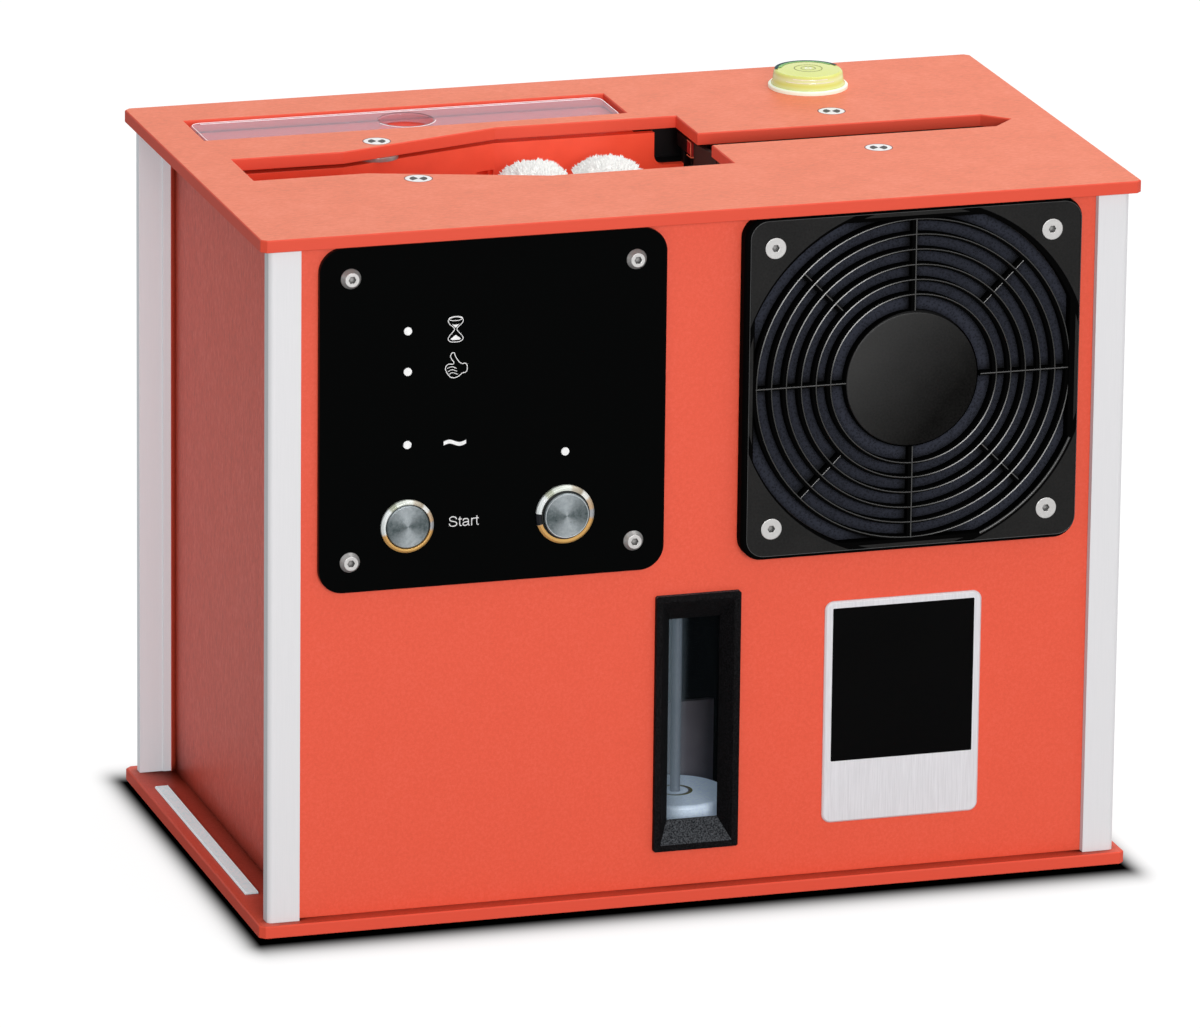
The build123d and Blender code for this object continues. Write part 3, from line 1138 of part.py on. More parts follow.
def drain_cap():
    """A push-on cap over the drain spigot."""
    y0 = PANEL_Y1 + FIT
    y1 = PANEL_Y1 + DRAIN_PROUD + SLIP * 2 + CAP_END_T
    cap = rod_y(DRAIN_X, DRAIN_Z, y0, y1, CAP_R)
    cap -= rod_y(DRAIN_X, DRAIN_Z, y0 - 1, y1 - CAP_END_T, DRAIN_R + SLIP)
    return cap


# ------------------------------------------------------------------ output
def write(name, shape):
    """Writes one node; a list is a group of separate solids."""
    if isinstance(shape, list):
        shape = Compound(children=shape)
    export_step(shape, f"parts/{name}.step")


def main():
    os.makedirs("parts", exist_ok=True)
    write("base_plate", base_plate())
    write("top_plate", top_plate())
    write("front_panel", front_panel())
    write("rear_panel", rear_panel())
    write("side_panels", [side_panel(-1), side_panel(1)])
    write("corner_posts", corner_posts())
    write("corner_bars", corner_bars())
    write("rubber_feet", rubber_feet())
    write("case_screws", base_screws() + top_plate_screws())
    write("top_plate_spacers", top_plate_spacers())
    write("clear_cover", clear_cover())
    write("filter_cassette", filter_cassette())
    write("filter_foam", filter_foam())
    write("level_base", level_base())
    write("level_vial", level_vial())
    write("wash_chamber", wash_chamber())
    write("wiper_clips", mirrored(wiper_clip()))
    write("wiper_lips", mirrored(wiper_lip()))
    write("overflow_cup", overflow_cup())
    names = ("front_left", "front_right", "rear_left", "rear_right")
    for i, (x, y) in enumerate(roller_centres()):
        tooth = i in (0, 3)
        write(f"{names[i]}_roller_core", roller_core(x, y, tooth))
        write(f"{names[i]}_roller_sleeve", roller_sleeve(x, y))
    write("roller_motor", roller_motor())
    write("roller_pinion", roller_pinion())
    write("idler_wheel", idler_wheel())
    write("drive_wheel", drive_wheel())
    write("record_motor", record_motor())
    write("dry_duct", dry_duct())
    write("fan_guards", mirrored(fan_guard()))
    write("fan_screws", fan_screws())
    write("fan_foam", fan_foam())
    write("fan_frames", mirrored(fan_frame()))
    write("front_fan_rotor", fan_rotor())
    write("rear_fan_rotor", mirror(fan_rotor(), about=Plane.XZ))
    write("control_plate", control_plate())
    write("control_plate_screws", control_plate_screws())
    write("indicator_lamps", indicator_lamps())
    write("button_housings", [button_housing(START_X, START_RING_R, START_CAP_R),
                              button_housing(MODE_X, MODE_RING_R, MODE_CAP_R)])
    write("start_button_cap", button_cap(START_X, START_CAP_R, RING_H))
    write("mode_button_cap", button_cap(MODE_X, MODE_CAP_R, MODE_PROUD))
    write("circuit_board", circuit_board())
    write("window_bezel", window_bezel())
    write("window_pane", window_pane())
    write("water_tank", water_tank())
    write("float_stem", float_stem())
    write("float_disc", float_disc())
    write("badge_plate", badge_plate())
    write("ledge_strip", ledge_strip())
    write("ultrasonic_transducer", ultrasonic_transducer())
    write("pump", pump())
    write("riser_pipe", riser_pipe())
    write("power_inlet", power_inlet())
    write("switch_housing", switch_housing())
    write("switch_rocker", switch_rocker())
    write("drain_cap", drain_cap())


main()
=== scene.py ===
"""Looks of the record cleaning machine: materials, fine detail on its parts, floor, lights and camera."""
import math
import random

import bmesh
import bpy
from mathutils import Matrix, Vector
from mathutils import noise as wave


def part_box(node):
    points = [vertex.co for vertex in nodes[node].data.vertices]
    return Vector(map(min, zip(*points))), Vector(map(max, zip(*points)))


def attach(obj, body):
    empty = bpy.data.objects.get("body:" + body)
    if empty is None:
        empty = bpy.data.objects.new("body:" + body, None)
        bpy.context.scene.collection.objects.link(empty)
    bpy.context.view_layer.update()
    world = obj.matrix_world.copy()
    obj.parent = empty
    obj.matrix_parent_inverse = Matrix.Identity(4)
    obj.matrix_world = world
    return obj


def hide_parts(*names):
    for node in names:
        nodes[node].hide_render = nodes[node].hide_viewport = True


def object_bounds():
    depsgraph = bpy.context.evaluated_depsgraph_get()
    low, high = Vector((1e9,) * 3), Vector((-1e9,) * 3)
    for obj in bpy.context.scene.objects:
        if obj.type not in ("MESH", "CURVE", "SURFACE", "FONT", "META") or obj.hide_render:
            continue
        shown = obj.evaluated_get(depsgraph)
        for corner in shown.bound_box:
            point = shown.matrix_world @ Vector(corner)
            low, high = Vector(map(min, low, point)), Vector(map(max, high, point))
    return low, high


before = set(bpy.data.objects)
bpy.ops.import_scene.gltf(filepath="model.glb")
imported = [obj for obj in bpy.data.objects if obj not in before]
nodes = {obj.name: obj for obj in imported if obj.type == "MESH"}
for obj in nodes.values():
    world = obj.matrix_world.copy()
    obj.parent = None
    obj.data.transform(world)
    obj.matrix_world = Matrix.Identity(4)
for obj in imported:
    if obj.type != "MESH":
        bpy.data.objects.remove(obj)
start_lo, start_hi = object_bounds()
rng = random.Random(7)
MM = 0.001
QUARTER = math.pi / 2
FULL = 2 * math.pi


# ---------- building materials
class Field:
    """A number that varies over a surface; arithmetic on it adds math nodes."""

    def __init__(self, socket):
        self.socket = socket

    def __add__(self, other):
        return calc("ADD", self, other)

    def __sub__(self, other):
        return calc("SUBTRACT", self, other)

    def __rsub__(self, other):
        return calc("SUBTRACT", other, self)

    def __mul__(self, other):
        return calc("MULTIPLY", self, other)

    def __truediv__(self, other):
        return calc("DIVIDE", self, other)

    def __pow__(self, other):
        return calc("POWER", self, other)

    def __lt__(self, other):
        return calc("LESS_THAN", self, other)

    def __gt__(self, other):
        return calc("GREATER_THAN", self, other)

    def __abs__(self):
        return calc("ABSOLUTE", self)


def add(tree, kind, **values):
    """A node with some of its settings and input values."""
    n = tree.nodes.new(kind)
    for key, value in values.items():
        if hasattr(n, key):
            setattr(n, key, value)
        else:
            n.inputs[key].default_value = value
    return n


def connect(value, socket):
    """Feeds a socket from a field or another socket, or sets it to a number or a colour."""
    if isinstance(value, Field):
        value = value.socket
    if isinstance(value, bpy.types.NodeSocket):
        socket.id_data.links.new(value, socket)
    else:
        socket.default_value = (*value, 1) if isinstance(value, tuple) else value


def calc(operation, *values):
    """The field that a math node makes of fields and numbers."""
    tree = next(value.socket.id_data for value in values if isinstance(value, Field))
    n = add(tree, "ShaderNodeMath", operation=operation)
    for value, socket in zip(values, n.inputs):
        connect(value, socket)
    return Field(n.outputs[0])


def largest(a, b):
    return calc("MAXIMUM", a, b)


def within(value, low, high):
    """1 where a value lies between two limits."""
    return (value > low) * (value < high)


def root_of_squares(a, b):
    return calc("SQRT", a * a + b * b)


def mix(fac, a, b):
    """The colour that goes from one to another as a field goes from 0 to 1."""
    n = add(fac.socket.id_data, "ShaderNodeMix", data_type="RGBA")
    for value, i in ((fac, 0), (a, 6), (b, 7)):
        connect(value, n.inputs[i])
    return n.outputs[2]


def separate(vector):
    """The X, Y and Z of a vector."""
    n = add(vector.id_data, "ShaderNodeSeparateXYZ")
    connect(vector, n.inputs["Vector"])
    return {axis: Field(n.outputs[axis]) for axis in "XYZ"}


def scaled(color, factor):
    return tuple(min(1.0, c * factor) for c in color)


class Finish:
    """A principled material, and the nodes that feed its shader."""

    def __init__(self, name, color, rough=0.5, metallic=0.0, specular=0.5):
        self.material = bpy.data.materials.new(name)
        self.material.use_nodes = True
        self.tree = self.material.node_tree
        self.shader = self.tree.nodes["Principled BSDF"]
        self.set("Base Color", color)
        self.set("Roughness", rough)
        self.set("Metallic", metallic)
        self.set("Specular IOR Level", specular)

    def set(self, key, value):
        connect(value, self.shader.inputs[key])

    def glow(self, color, strength):
        """A faint light of its own: a painted glow on the machine's parts, and the floor's even white."""
        self.set("Emission Color", color)
        self.set("Emission Strength", strength)

    def vary_roughness(self, field, middle, spread):
        """Lets the roughness follow a field, round a middle value."""
        self.set("Roughness", field * spread + (middle - spread / 2))

    def place(self, scale=(1, 1, 1), location=(0, 0, 0)):
        """Coordinates in metres, scaled per axis and then shifted."""
        coord = add(self.tree, "ShaderNodeTexCoord")
        mapping = add(self.tree, "ShaderNodeMapping", Scale=scale, Location=location)
        connect(coord.outputs["Object"], mapping.inputs["Vector"])
        return mapping.outputs["Vector"]

    def spot(self, location=(0, 0, 0)):
        """A point's X, Y and Z."""
        return separate(self.place(location=location))

    def normal(self):
        """The X, Y and Z of the direction in which a face looks."""
        return separate(add(self.tree, "ShaderNodeNewGeometry").outputs["True Normal"])

    def looks_along(self, axis):
        """1 on the faces that look along an axis."""
        return abs(self.normal()[axis]) > 0.9

    def noise(self, scale, detail=2.0, roughness=0.5, stretch=(1, 1, 1)):
        n = add(self.tree, "ShaderNodeTexNoise", Scale=scale, Detail=detail, Roughness=roughness)
        connect(self.place(stretch), n.inputs["Vector"])
        return Field(n.outputs["Fac"])

    def turn(self, x, z):
        """Where a point lies round an axis along Y, as a share of a turn."""
        flat = add(self.tree, "ShaderNodeCombineXYZ")
        connect(x, flat.inputs["X"])
        connect(z, flat.inputs["Y"])
        spin = add(self.tree, "ShaderNodeTexGradient", gradient_type="RADIAL")
        connect(flat.outputs["Vector"], spin.inputs["Vector"])
        return Field(spin.outputs["Fac"])

    def ramp(self, fac, *stops):
        """A colour ramp of (position, colour) stops."""
        n = add(self.tree, "ShaderNodeValToRGB")
        elements = n.color_ramp.elements
        while len(elements) < len(stops):
            elements.new(0.5)
        for element, (position, color) in zip(elements, stops):
            element.position = position
            element.color = (*color, 1)
        connect(fac, n.inputs["Fac"])
        return n.outputs["Color"]

    def openness(self, distance, *stops, **settings):
        """A colour ramp by how open a point is, low in a corner or a recess and 1 on an open face, for
        painting shade.
        """
        n = add(self.tree, "ShaderNodeAmbientOcclusion", samples=8, Distance=distance, **settings)
        return self.ramp(n.outputs["AO"], *stops)

    def corner_light(self, distance):
        """A mask for painted shade: 1 on an open face, falling to 0 in a corner with other pieces."""
        grey = self.openness(distance, (0.36, (0, 0, 0)), (0.62, (0.55, 0.55, 0.55)), (0.90, (1, 1, 1)))
        return separate(grey)["X"]

    def bump(self, height, strength, distance, edge=0.0):
        """Surface relief; an edge radius rounds off the sharp edges under it."""
        n = add(self.tree, "ShaderNodeBump", Strength=strength, Distance=distance)
        if edge:
            rounded = add(self.tree, "ShaderNodeBevel", samples=6, Radius=edge)
            connect(rounded.outputs["Normal"], n.inputs["Normal"])
        connect(height, n.inputs["Height"])
        self.set("Normal", n.outputs["Normal"])


# ---------- materials
RED = (0.84, 0.088, 0.037)
RED_EDGE = (0.79, 0.081, 0.040)
EDGE_SPECULAR = 0.3

GUARD_ROUND = 8 * MM        # corner radius of a fan guard, and its outer rim, painted dark as shade
GUARD_RIM = 1.3 * MM
HUB_R = 25.5 * MM           # closed middle of a guard
OPEN_R = 65.5 * MM          # a guard's opening: a circle cut off by flats, with painted shade on its chamfer
BAR_END = 60.0 * MM
OPEN_CHAMFER = 1.3 * MM
fan_low, fan_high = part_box("front_fan_rotor")
FAN_AXIS = ((fan_low.x + fan_high.x) / 2, (fan_low.z + fan_high.z) / 2)
guard_low, guard_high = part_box("fan_guards")
GUARD_HALF = (guard_high.x - guard_low.x) / 2


def from_fan_axis(finish):
    """A point's place from the fans' axis, and its distance from that axis."""
    spot = finish.spot((-FAN_AXIS[0], 0, -FAN_AXIS[1]))
    return spot, root_of_squares(spot["X"], spot["Z"])


def round_square(spot):
    """GUARD_ROUND on a guard's rounded square outline, and less within it."""
    return root_of_squares(*(largest(abs(spot[axis]) - (GUARD_HALF - GUARD_ROUND), 0.0) for axis in "XZ"))


def laminate(name, flat_axis, red=RED, rough=0.45, specular=0.5, cloud=0.08, contrast=1.0, stretch=(1, 1, 1),
             corner=0.0, under_guard=False):
    """Mottled red laminate; faces that don't look along flat_axis are its smoother cut edges.

    It has painted shade within a distance called corner of its neighbours, and a painted shadow beneath a fan
    guard.
    """
    f = Finish(name, red, rough, specular=specular)
    fine = f.noise(1900, 3, 0.6, stretch)
    mottle = f.noise(820, 3, 0.6, stretch)
    grain = f.noise(75, 3) * cloud + (fine * 0.45 + mottle * 0.55) * (1 - cloud)
    pale = tuple(c + 0.030 * contrast for c in red)
    flat = f.ramp(grain, (0.36, scaled(red, 1 - 0.08 * contrast)), (0.5, red), (0.64, pale))
    is_flat = f.looks_along(flat_axis)
    surface = mix(is_flat, RED_EDGE, flat)
    gloss = is_flat * (specular - EDGE_SPECULAR) + EDGE_SPECULAR
    # painted shadow: the face beneath a fan guard is painted nearly black
    if under_guard:
        covered = round_square(from_fan_axis(f)[0]) < GUARD_ROUND - MM
        surface = mix(covered, surface, scaled(RED, 0.01))
    # painted shade: colour and gloss darken in corners near other pieces
    if corner:
        light = largest(f.corner_light(corner), 1.0 - is_flat)
        surface = mix(light, scaled(RED_EDGE, 0.10), surface)
        gloss = light * gloss
    f.set("Base Color", surface)
    f.set("Specular IOR Level", gloss)
    f.set("Roughness", is_flat * -0.08 + (rough + 0.08))
    f.bump(grain, 0.30, 0.10 * MM, edge=0.4 * MM)
    return f.material


def molded(name, color, rough=0.45, grain=900.0, specular=0.5, speckle=0.1, edge=0.3 * MM, glow=None):
    """Moulded plastic with a fine texture and slight wear."""
    f = Finish(name, color, rough, specular=specular)
    if glow:
        f.glow(*glow)
    fine = f.noise(grain)
    slow = f.noise(35, 3)
    tone = fine * 0.65 + slow * 0.35
    f.set("Base Color", f.ramp(tone, (0.36, scaled(color, 1 - speckle)), (0.64, scaled(color, 1 + speckle))))
    f.vary_roughness(slow, rough, 0.12)
    f.bump(fine, 0.4, 0.04 * MM, edge)
    return f.material


def metal(name, color, rough=0.3, stretch=(1, 1, 1), grain=1500.0, metallic=1.0, contrast=0.06, glow=None):
    """Metal with fine drawn or brushed lines; the lines run along the axis with the small scale."""
    f = Finish(name, color, rough, metallic)
    if glow:
        f.glow(*glow)
    lines = f.noise(grain, 3, 0.6, stretch)
    f.set("Base Color", f.ramp(lines, (0.3, scaled(color, 1 - contrast)), (0.7, scaled(color, 1 + contrast))))
    f.vary_roughness(lines, rough, 0.14)
    f.bump(lines, 0.25, 0.02 * MM, edge=0.3 * MM)
    return f.material


POST_GLOW, REAR_POST_GLOW = 0.155, 0.13     # painted glow of every post, and the extra that paints the rear posts lighter


def post_metal(name, color, rough):
    """Fine drawn aluminium of the corner posts, with painted shade on the faces that look sideways and a
    painted glow, stronger on the rear posts.
    """
    f = Finish(name, color, rough, 0.10)
    lines = f.noise(2600, 3, 0.6, (1, 1, 0.02))
    drawn = f.ramp(lines, (0.3, scaled(color, 0.98)), (0.7, scaled(color, 1.02)))
    f.set("Base Color", mix(f.looks_along("X"), drawn, scaled(color, 0.56)))
    f.glow((0.84, 0.93, 1.0), (f.spot()["Y"] > 0.0) * REAR_POST_GLOW + POST_GLOW)
    f.vary_roughness(lines, rough, 0.14)
    f.bump(lines, 0.25, 0.02 * MM, edge=0.3 * MM)
    return f.material


def socket_steel(name, color, rough, metallic):
    """Screw steel: fine scratches, and painted shade inside the hexagon sockets."""
    f = Finish(name, color, rough, metallic)
    f.set("Base Color", f.openness(1.6 * MM, (0.45, scaled(color, 0.12)), (0.92, color), only_local=True))
    scratches = f.noise(900, 3, 0.6)
    f.vary_roughness(scratches, rough, 0.14)
    f.bump(scratches, 0.25, 0.02 * MM, edge=0.25 * MM)
    return f.material


SECTOR_TURN = -1.75         # where the painted highlight sectors of a turned face lie, in radians
RING_PITCH = 26000.0        # its fine rings, in radians a metre


def turned(name, dark, light, centre, rough):
    """Lathe-turned metal round an axis along Y: fine rings, and painted highlight sectors spreading from its
    centre.
    """
    f = Finish(name, light, rough, 0.6)
    spot = f.spot((-centre[0], 0, -centre[1]))
    rings = calc("SINE", root_of_squares(spot["X"], spot["Z"]) * RING_PITCH)
    sectors = calc("SINE", f.turn(spot["X"], spot["Z"]) * (2 * FULL) + SECTOR_TURN)
    wear = f.noise(700, 3, 0.7)
    f.set("Base Color", f.ramp(sectors * 0.32 + (wear * 0.6 + 0.2), (0.1, dark), (0.9, light)))
    f.set("Roughness", wear * 0.15 + (rough - 0.07))
    f.bump(rings, 0.25, 0.02 * MM, edge=0.3 * MM)
    return f.material


# painted reflections round the button rings, by share of a turn: white above, warm below
RING_WHITE_REFLECTION, RING_WARM_REFLECTION = (0.78, 0.82, 0.81), (0.66, 0.37, 0.12)
RING_REFLECTIONS = [(0.035, RING_WHITE_REFLECTION), (0.055, RING_WARM_REFLECTION), (0.25, (0.72, 0.43, 0.13)), (0.46, RING_WARM_REFLECTION),
              (0.48, (0.40, 0.41, 0.43)), (0.515, (0.40, 0.41, 0.43)), (0.53, (0.56, 0.38, 0.22)),
              (0.585, (0.60, 0.46, 0.32)), (0.60, (0.90, 0.90, 0.86)), (0.635, (0.90, 0.90, 0.86)),
              (0.65, (0.40, 0.34, 0.25)), (0.705, (0.54, 0.49, 0.40)), (0.725, (0.80, 0.83, 0.77)),
              (0.82, (0.72, 0.77, 0.69)), (0.835, (0.40, 0.43, 0.33)), (0.87, (0.44, 0.46, 0.37)),
              (0.885, (0.86, 0.90, 0.90)), (0.99, RING_WHITE_REFLECTION)]
DARK_REFLECTION_TURN = (0.985, 0.050)  # a painted dark reflection on the right ring, across the ends of its turn


def button_ring(name, centres):
    """Polished button rings with painted reflections: silver above, warm below, and a dark one on one turn of
    the right ring.
    """
    f = Finish(name, (0.7, 0.7, 0.7), 0.3, 0.25, 0.3)
    spot = f.spot()
    (left_x, left_z), (right_x, right_z) = centres
    is_right = spot["X"] > (left_x + right_x) / 2
    turn = f.turn(spot["X"] - (is_right * (right_x - left_x) + left_x),
                  spot["Z"] - (is_right * (right_z - left_z) + left_z))
    is_dark = largest(turn > DARK_REFLECTION_TURN[0], turn < DARK_REFLECTION_TURN[1]) * is_right
    f.set("Base Color", mix(is_dark, f.ramp(turn, *RING_REFLECTIONS), (0.006, 0.007, 0.010)))
    polish = f.noise(600, 3)
    f.vary_roughness(polish, 0.3, 0.12)
    f.bump(polish, 0.2, 0.02 * MM, edge=0.4 * MM)
    return f.material


def foam(name, color):
    """Open-cell foam, with painted shade close to the pieces round it."""
    f = Finish(name, color, 0.95, specular=0.2)
    cells = add(f.tree, "ShaderNodeTexVoronoi", Scale=1100.0)
    connect(f.place(), cells.inputs["Vector"])
    pores = f.ramp(cells.outputs["Distance"], (0.1, scaled(color, 0.55)), (0.6, scaled(color, 1.35)))
    f.set("Base Color", mix(f.corner_light(3.6 * MM), scaled(color, 0.04), pores))
    f.bump(cells.outputs["Distance"], 0.6, 0.4 * MM)
    return f.material


def cover_acrylic():
    """The cover's thin clear sheet, which tints what lies behind it."""
    f = Finish("clear_acrylic", (0.72, 0.62, 0.72), 0.04)
    f.set("Alpha", 0.30)
    smear = f.noise(60, 3)
    f.set("Roughness", smear * 0.03 + 0.04)
    f.bump(smear, 0.05, 0.02 * MM, edge=0.4 * MM)
    return f.material


BAFFLE_TOP = 59 * MM        # top and thickness of the tank's baffle, and the room between it and the float
BAFFLE_T = 2 * MM
BAFFLE_GAP = 4 * MM
BAFFLE_GREY = (0.165, 0.155, 0.178)
float_low, float_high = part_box("float_disc")


def tank_acrylic():
    """The tank: a clear front wall, a grey baffle behind the float, and the walls beyond painted near black
    as painted shade.
    """
    f = Finish("tank_acrylic", BAFFLE_GREY, 0.25, specular=0.04)
    spot = f.spot()
    is_front = spot["Y"] < (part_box("water_tank")[0].y + float_low.y) / 2
    is_baffle = within(spot["Y"], float_high.y, float_high.y + BAFFLE_GAP + BAFFLE_T)
    is_baffle = is_baffle * (spot["Z"] < BAFFLE_TOP + 1 * MM)
    grey = f.ramp(f.noise(60, 3), (0.3, scaled(BAFFLE_GREY, 0.85)), (0.7, scaled(BAFFLE_GREY, 1.15)))
    f.set("Base Color", mix(is_baffle, (0.0010, 0.0013, 0.0018), grey))
    f.set("Alpha", is_front * -0.99 + 1.0)
    return f.material


VIEW_HALF = 9.55 * MM       # half width of the window's view, and width of the painted sheen along its left edge
PANE_GLEAM = 8 * MM


def pane_acrylic():
    """The window's clear pane, with a painted blue-grey sheen along its left edge."""
    f = Finish("pane_acrylic", (0.13, 0.175, 0.21), 0.06, specular=0.2)
    pane_low, pane_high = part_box("window_pane")
    f.set("Base Color", f.ramp(f.noise(60, 3), (0.3, (0.115, 0.155, 0.19)), (0.7, (0.15, 0.20, 0.235))))
    from_edge = f.spot()["X"] - ((pane_low.x + pane_high.x) / 2 - VIEW_HALF)
    near_edge = largest(1.0 - from_edge / PANE_GLEAM, 0.0) ** 1.3
    f.set("Alpha", near_edge * 0.42 + 0.008)
    return f.material


CUP_WALL = 1 * MM
NOTCH_W = 11.5 * MM         # notch in the chamber's rear wall, left of its black end
DEEP_X = -0.100             # the well's painted glow starts here as dark red, and rises towards the notch


def chamber_plastic():
    """The washing chamber's red plastic, with a painted glow of its own colour that rises towards the notch,
    and black at its duct end, as black duct plastic and as painted shade.
    """
    f = Finish("chamber_plastic", (0.86, 0.082, 0.036), 0.4, specular=0.35)
    end_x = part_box("overflow_cup")[0].x + CUP_WALL + NOTCH_W
    along = f.spot()["X"]
    is_red = along < end_x
    rise = calc("MINIMUM", largest((along - DEEP_X) / (end_x - DEEP_X), 0.0), 1.0)
    f.glow((0.85, 0.048, 0.017), is_red * (rise * 0.20 + 0.01))
    red = f.ramp(f.noise(120, 3), (0.3, (0.83, 0.076, 0.033)), (0.7, (0.89, 0.088, 0.039)))
    f.set("Base Color", mix(is_red, (0.006, 0.003, 0.003), red))
    f.bump(f.noise(900), 0.3, 0.04 * MM, edge=0.4 * MM)
    return f.material


def crest_plastic():
    """A painted highlight along the crests of the guards' rings, strongest on their upper left and lower
    right.
    """
    f = Finish("guard_crest_gloss", (0.03, 0.03, 0.03), 0.25, specular=0.6)
    spot, reach = from_fan_axis(f)
    lean = largest(spot["X"] * spot["Z"] / (reach * reach) * -2.0, 0.0) ** 2.0
    highlight_breakup = f.noise(160) * 0.8 + 0.6
    f.set("Base Color", f.ramp(lean * highlight_breakup, (0.0, (0.020, 0.020, 0.019)), (1.0, (0.42, 0.42, 0.41))))
    return f.material


def guard_plastic():
    """Satin black of the fan guards, with painted shade on the rim, the opening's chamfer and the ribs, and a
    painted sheen on the hub.
    """
    f = Finish("guard_plastic", (0.006, 0.006, 0.0058), 0.42, specular=0.20)
    spot, reach = from_fan_axis(f)
    is_rim = round_square(spot) > GUARD_ROUND - GUARD_RIM
    is_rib = abs(spot["Y"]) < guard_high.y - 0.4 * MM
    fine = f.noise(1300, 3, 0.6)
    tone = fine * 0.6 + f.noise(60, 3) * 0.4
    face = f.ramp(tone, (0.35, (0.0015, 0.0015, 0.0014)), (0.65, (0.0090, 0.0087, 0.0083)))
    across = largest(abs(spot["X"]), abs(spot["Z"]))
    on_circle = within(reach, OPEN_R - 1 * MM, OPEN_R + OPEN_CHAMFER)
    on_flat = within(across, BAR_END - 1 * MM, BAR_END + OPEN_CHAMFER) * (reach < OPEN_R + OPEN_CHAMFER)
    is_dark = largest(largest(is_rim, is_rib), largest(on_circle, on_flat))
    lean = spot["Z"] * 0.65 + spot["X"] * -0.75
    gloss = largest(lean * (0.26 / HUB_R) * (reach < HUB_R) + 0.18, 0.02)
    f.set("Base Color", mix(is_dark, face, (0.0006, 0.0006, 0.0006)))
    f.set("Roughness", is_dark * 0.35 + 0.42)
    f.set("Specular IOR Level", is_dark * -0.16 + gloss)
    f.bump(fine, 0.35, 0.04 * MM, edge=0.5 * MM)
    return f.material


def bezel_plastic():
    """Sandy black plastic of the window's bezel, with painted light on the slope that looks up, where the
    grain shows plainest.
    """
    f = Finish("bezel_black", (0.004, 0.004, 0.0045), 0.6, specular=0.05)
    sand = f.noise(1700, 2, 0.7)
    side = f.ramp(sand, (0.40, (0.0005, 0.0005, 0.0006)), (0.66, (0.0090, 0.0085, 0.0096)))
    slope = f.ramp(sand, (0.38, (0.0060, 0.0068, 0.0085)), (0.66, (0.0900, 0.0960, 0.1050)))
    f.set("Base Color", mix(f.normal()["Z"] > 0.3, side, slope))
    f.bump(sand, 0.6, 0.4 * MM, edge=0.3 * MM)
    return f.material


CLIP_Y = 19 * MM            # inner end of a wiper clip, from the record's plane
CLIP_LIT = 4.5 * MM         # length of its red end; the rest lies in painted shade


def clip_plastic():
    """The wiper clips, painted as red plastic in shade: dark red at their inner ends, and nearly black
    behind.
    """
    f = Finish("clip_red", (0.40, 0.022, 0.022), 0.38, specular=0.2)
    is_end = abs(f.spot()["Y"]) < CLIP_Y + CLIP_LIT
    tone = f.noise(900, 3)
    red = f.ramp(tone, (0.3, (0.36, 0.018, 0.018)), (0.7, (0.44, 0.026, 0.025)))
    f.set("Base Color", mix(is_end, (0.010, 0.003, 0.003), red))
    f.bump(tone, 0.2, 0.04 * MM, edge=0.3 * MM)
    return f.material


def control_gloss():
    """Glossy black of the control plate."""
    f = Finish("control_gloss", (0.0012, 0.0014, 0.0014), 0.08, specular=0.02)
    f.vary_roughness(f.noise(30, 3), 0.08, 0.06)
    return f.material


def microfibre():
    """White pile of the roller sleeves, with a painted glow."""
    f = Finish("microfibre", (0.90, 0.90, 0.88), 0.95, specular=0.1)
    f.glow((1.0, 1.0, 0.97), 0.20)
    fibres = f.noise(1500, 4, 0.7)
    f.set("Base Color", f.ramp(fibres, (0.32, (0.82, 0.82, 0.80)), (0.6, (0.92, 0.92, 0.90))))
    f.bump(fibres, 0.6, 0.5 * MM)
    return f.material


level_low, level_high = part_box("level_vial")
LEVEL_H = level_high.z - level_low.z
VIAL_COLORS = [(0.05, (0.69, 0.75, 0.30)), (0.30, (0.65, 0.68, 0.13)), (0.60, (0.73, 0.81, 0.41)),
               (0.85, (0.67, 0.71, 0.18)), (0.99, (0.65, 0.71, 0.16))]


def vial_green():
    """Clear yellow-green of the level, with a faint painted glow, and painted light and shade in soft bands
    by height.
    """
    f = Finish("level_green", (0.70, 0.70, 0.22), 0.14, specular=0.3)
    f.glow((0.80, 0.84, 0.42), 0.05)
    swirl = f.noise(90)
    height = f.spot((0, 0, -level_low.z))["Z"] / LEVEL_H
    f.set("Base Color", f.ramp(swirl * 0.12 + (height - 0.06), *VIAL_COLORS))
    f.bump(swirl, 0.05, 0.05 * MM, edge=0.6 * MM)
    return f.material


# ---------- what each node is made of
def paint(material, *names):
    for name in names:
        nodes[name].data.materials.clear()
        nodes[name].data.materials.append(material)


# painted shade in the corners of the base, rear and side panels, and painted shadow beneath the fan guards on
# front and rear
paint(laminate("laminate_base", "Z", RED, 0.5, 0.4, corner=24 * MM), "base_plate")
# the top plate's red is a paler, more orange copy: its sheen in grazing light is painted into its colour
paint(laminate("laminate_top", "Z", (0.775, 0.155, 0.058), 0.48, 0.55, 0.25, 1.7, (0.4, 1, 1)), "top_plate")
paint(laminate("laminate_front", "Y", contrast=0.7, under_guard=True), "front_panel")
paint(laminate("laminate_rear", "Y", contrast=0.7, corner=4 * MM, under_guard=True), "rear_panel")
paint(laminate("laminate_side", "X", (0.84, 0.078, 0.032), contrast=2.2, stretch=(1, 1, 0.3), corner=30 * MM),
      "side_panels")
chamber_red = chamber_plastic()
paint(chamber_red, "wash_chamber")
paint(molded("red_plastic", (0.80, 0.060, 0.030), 0.38), "filter_cassette")
paint(clip_plastic(), "wiper_clips")
paint(molded("shadow_gap_red", (0.10, 0.016, 0.012), 0.6, specular=0.2), "corner_bars")

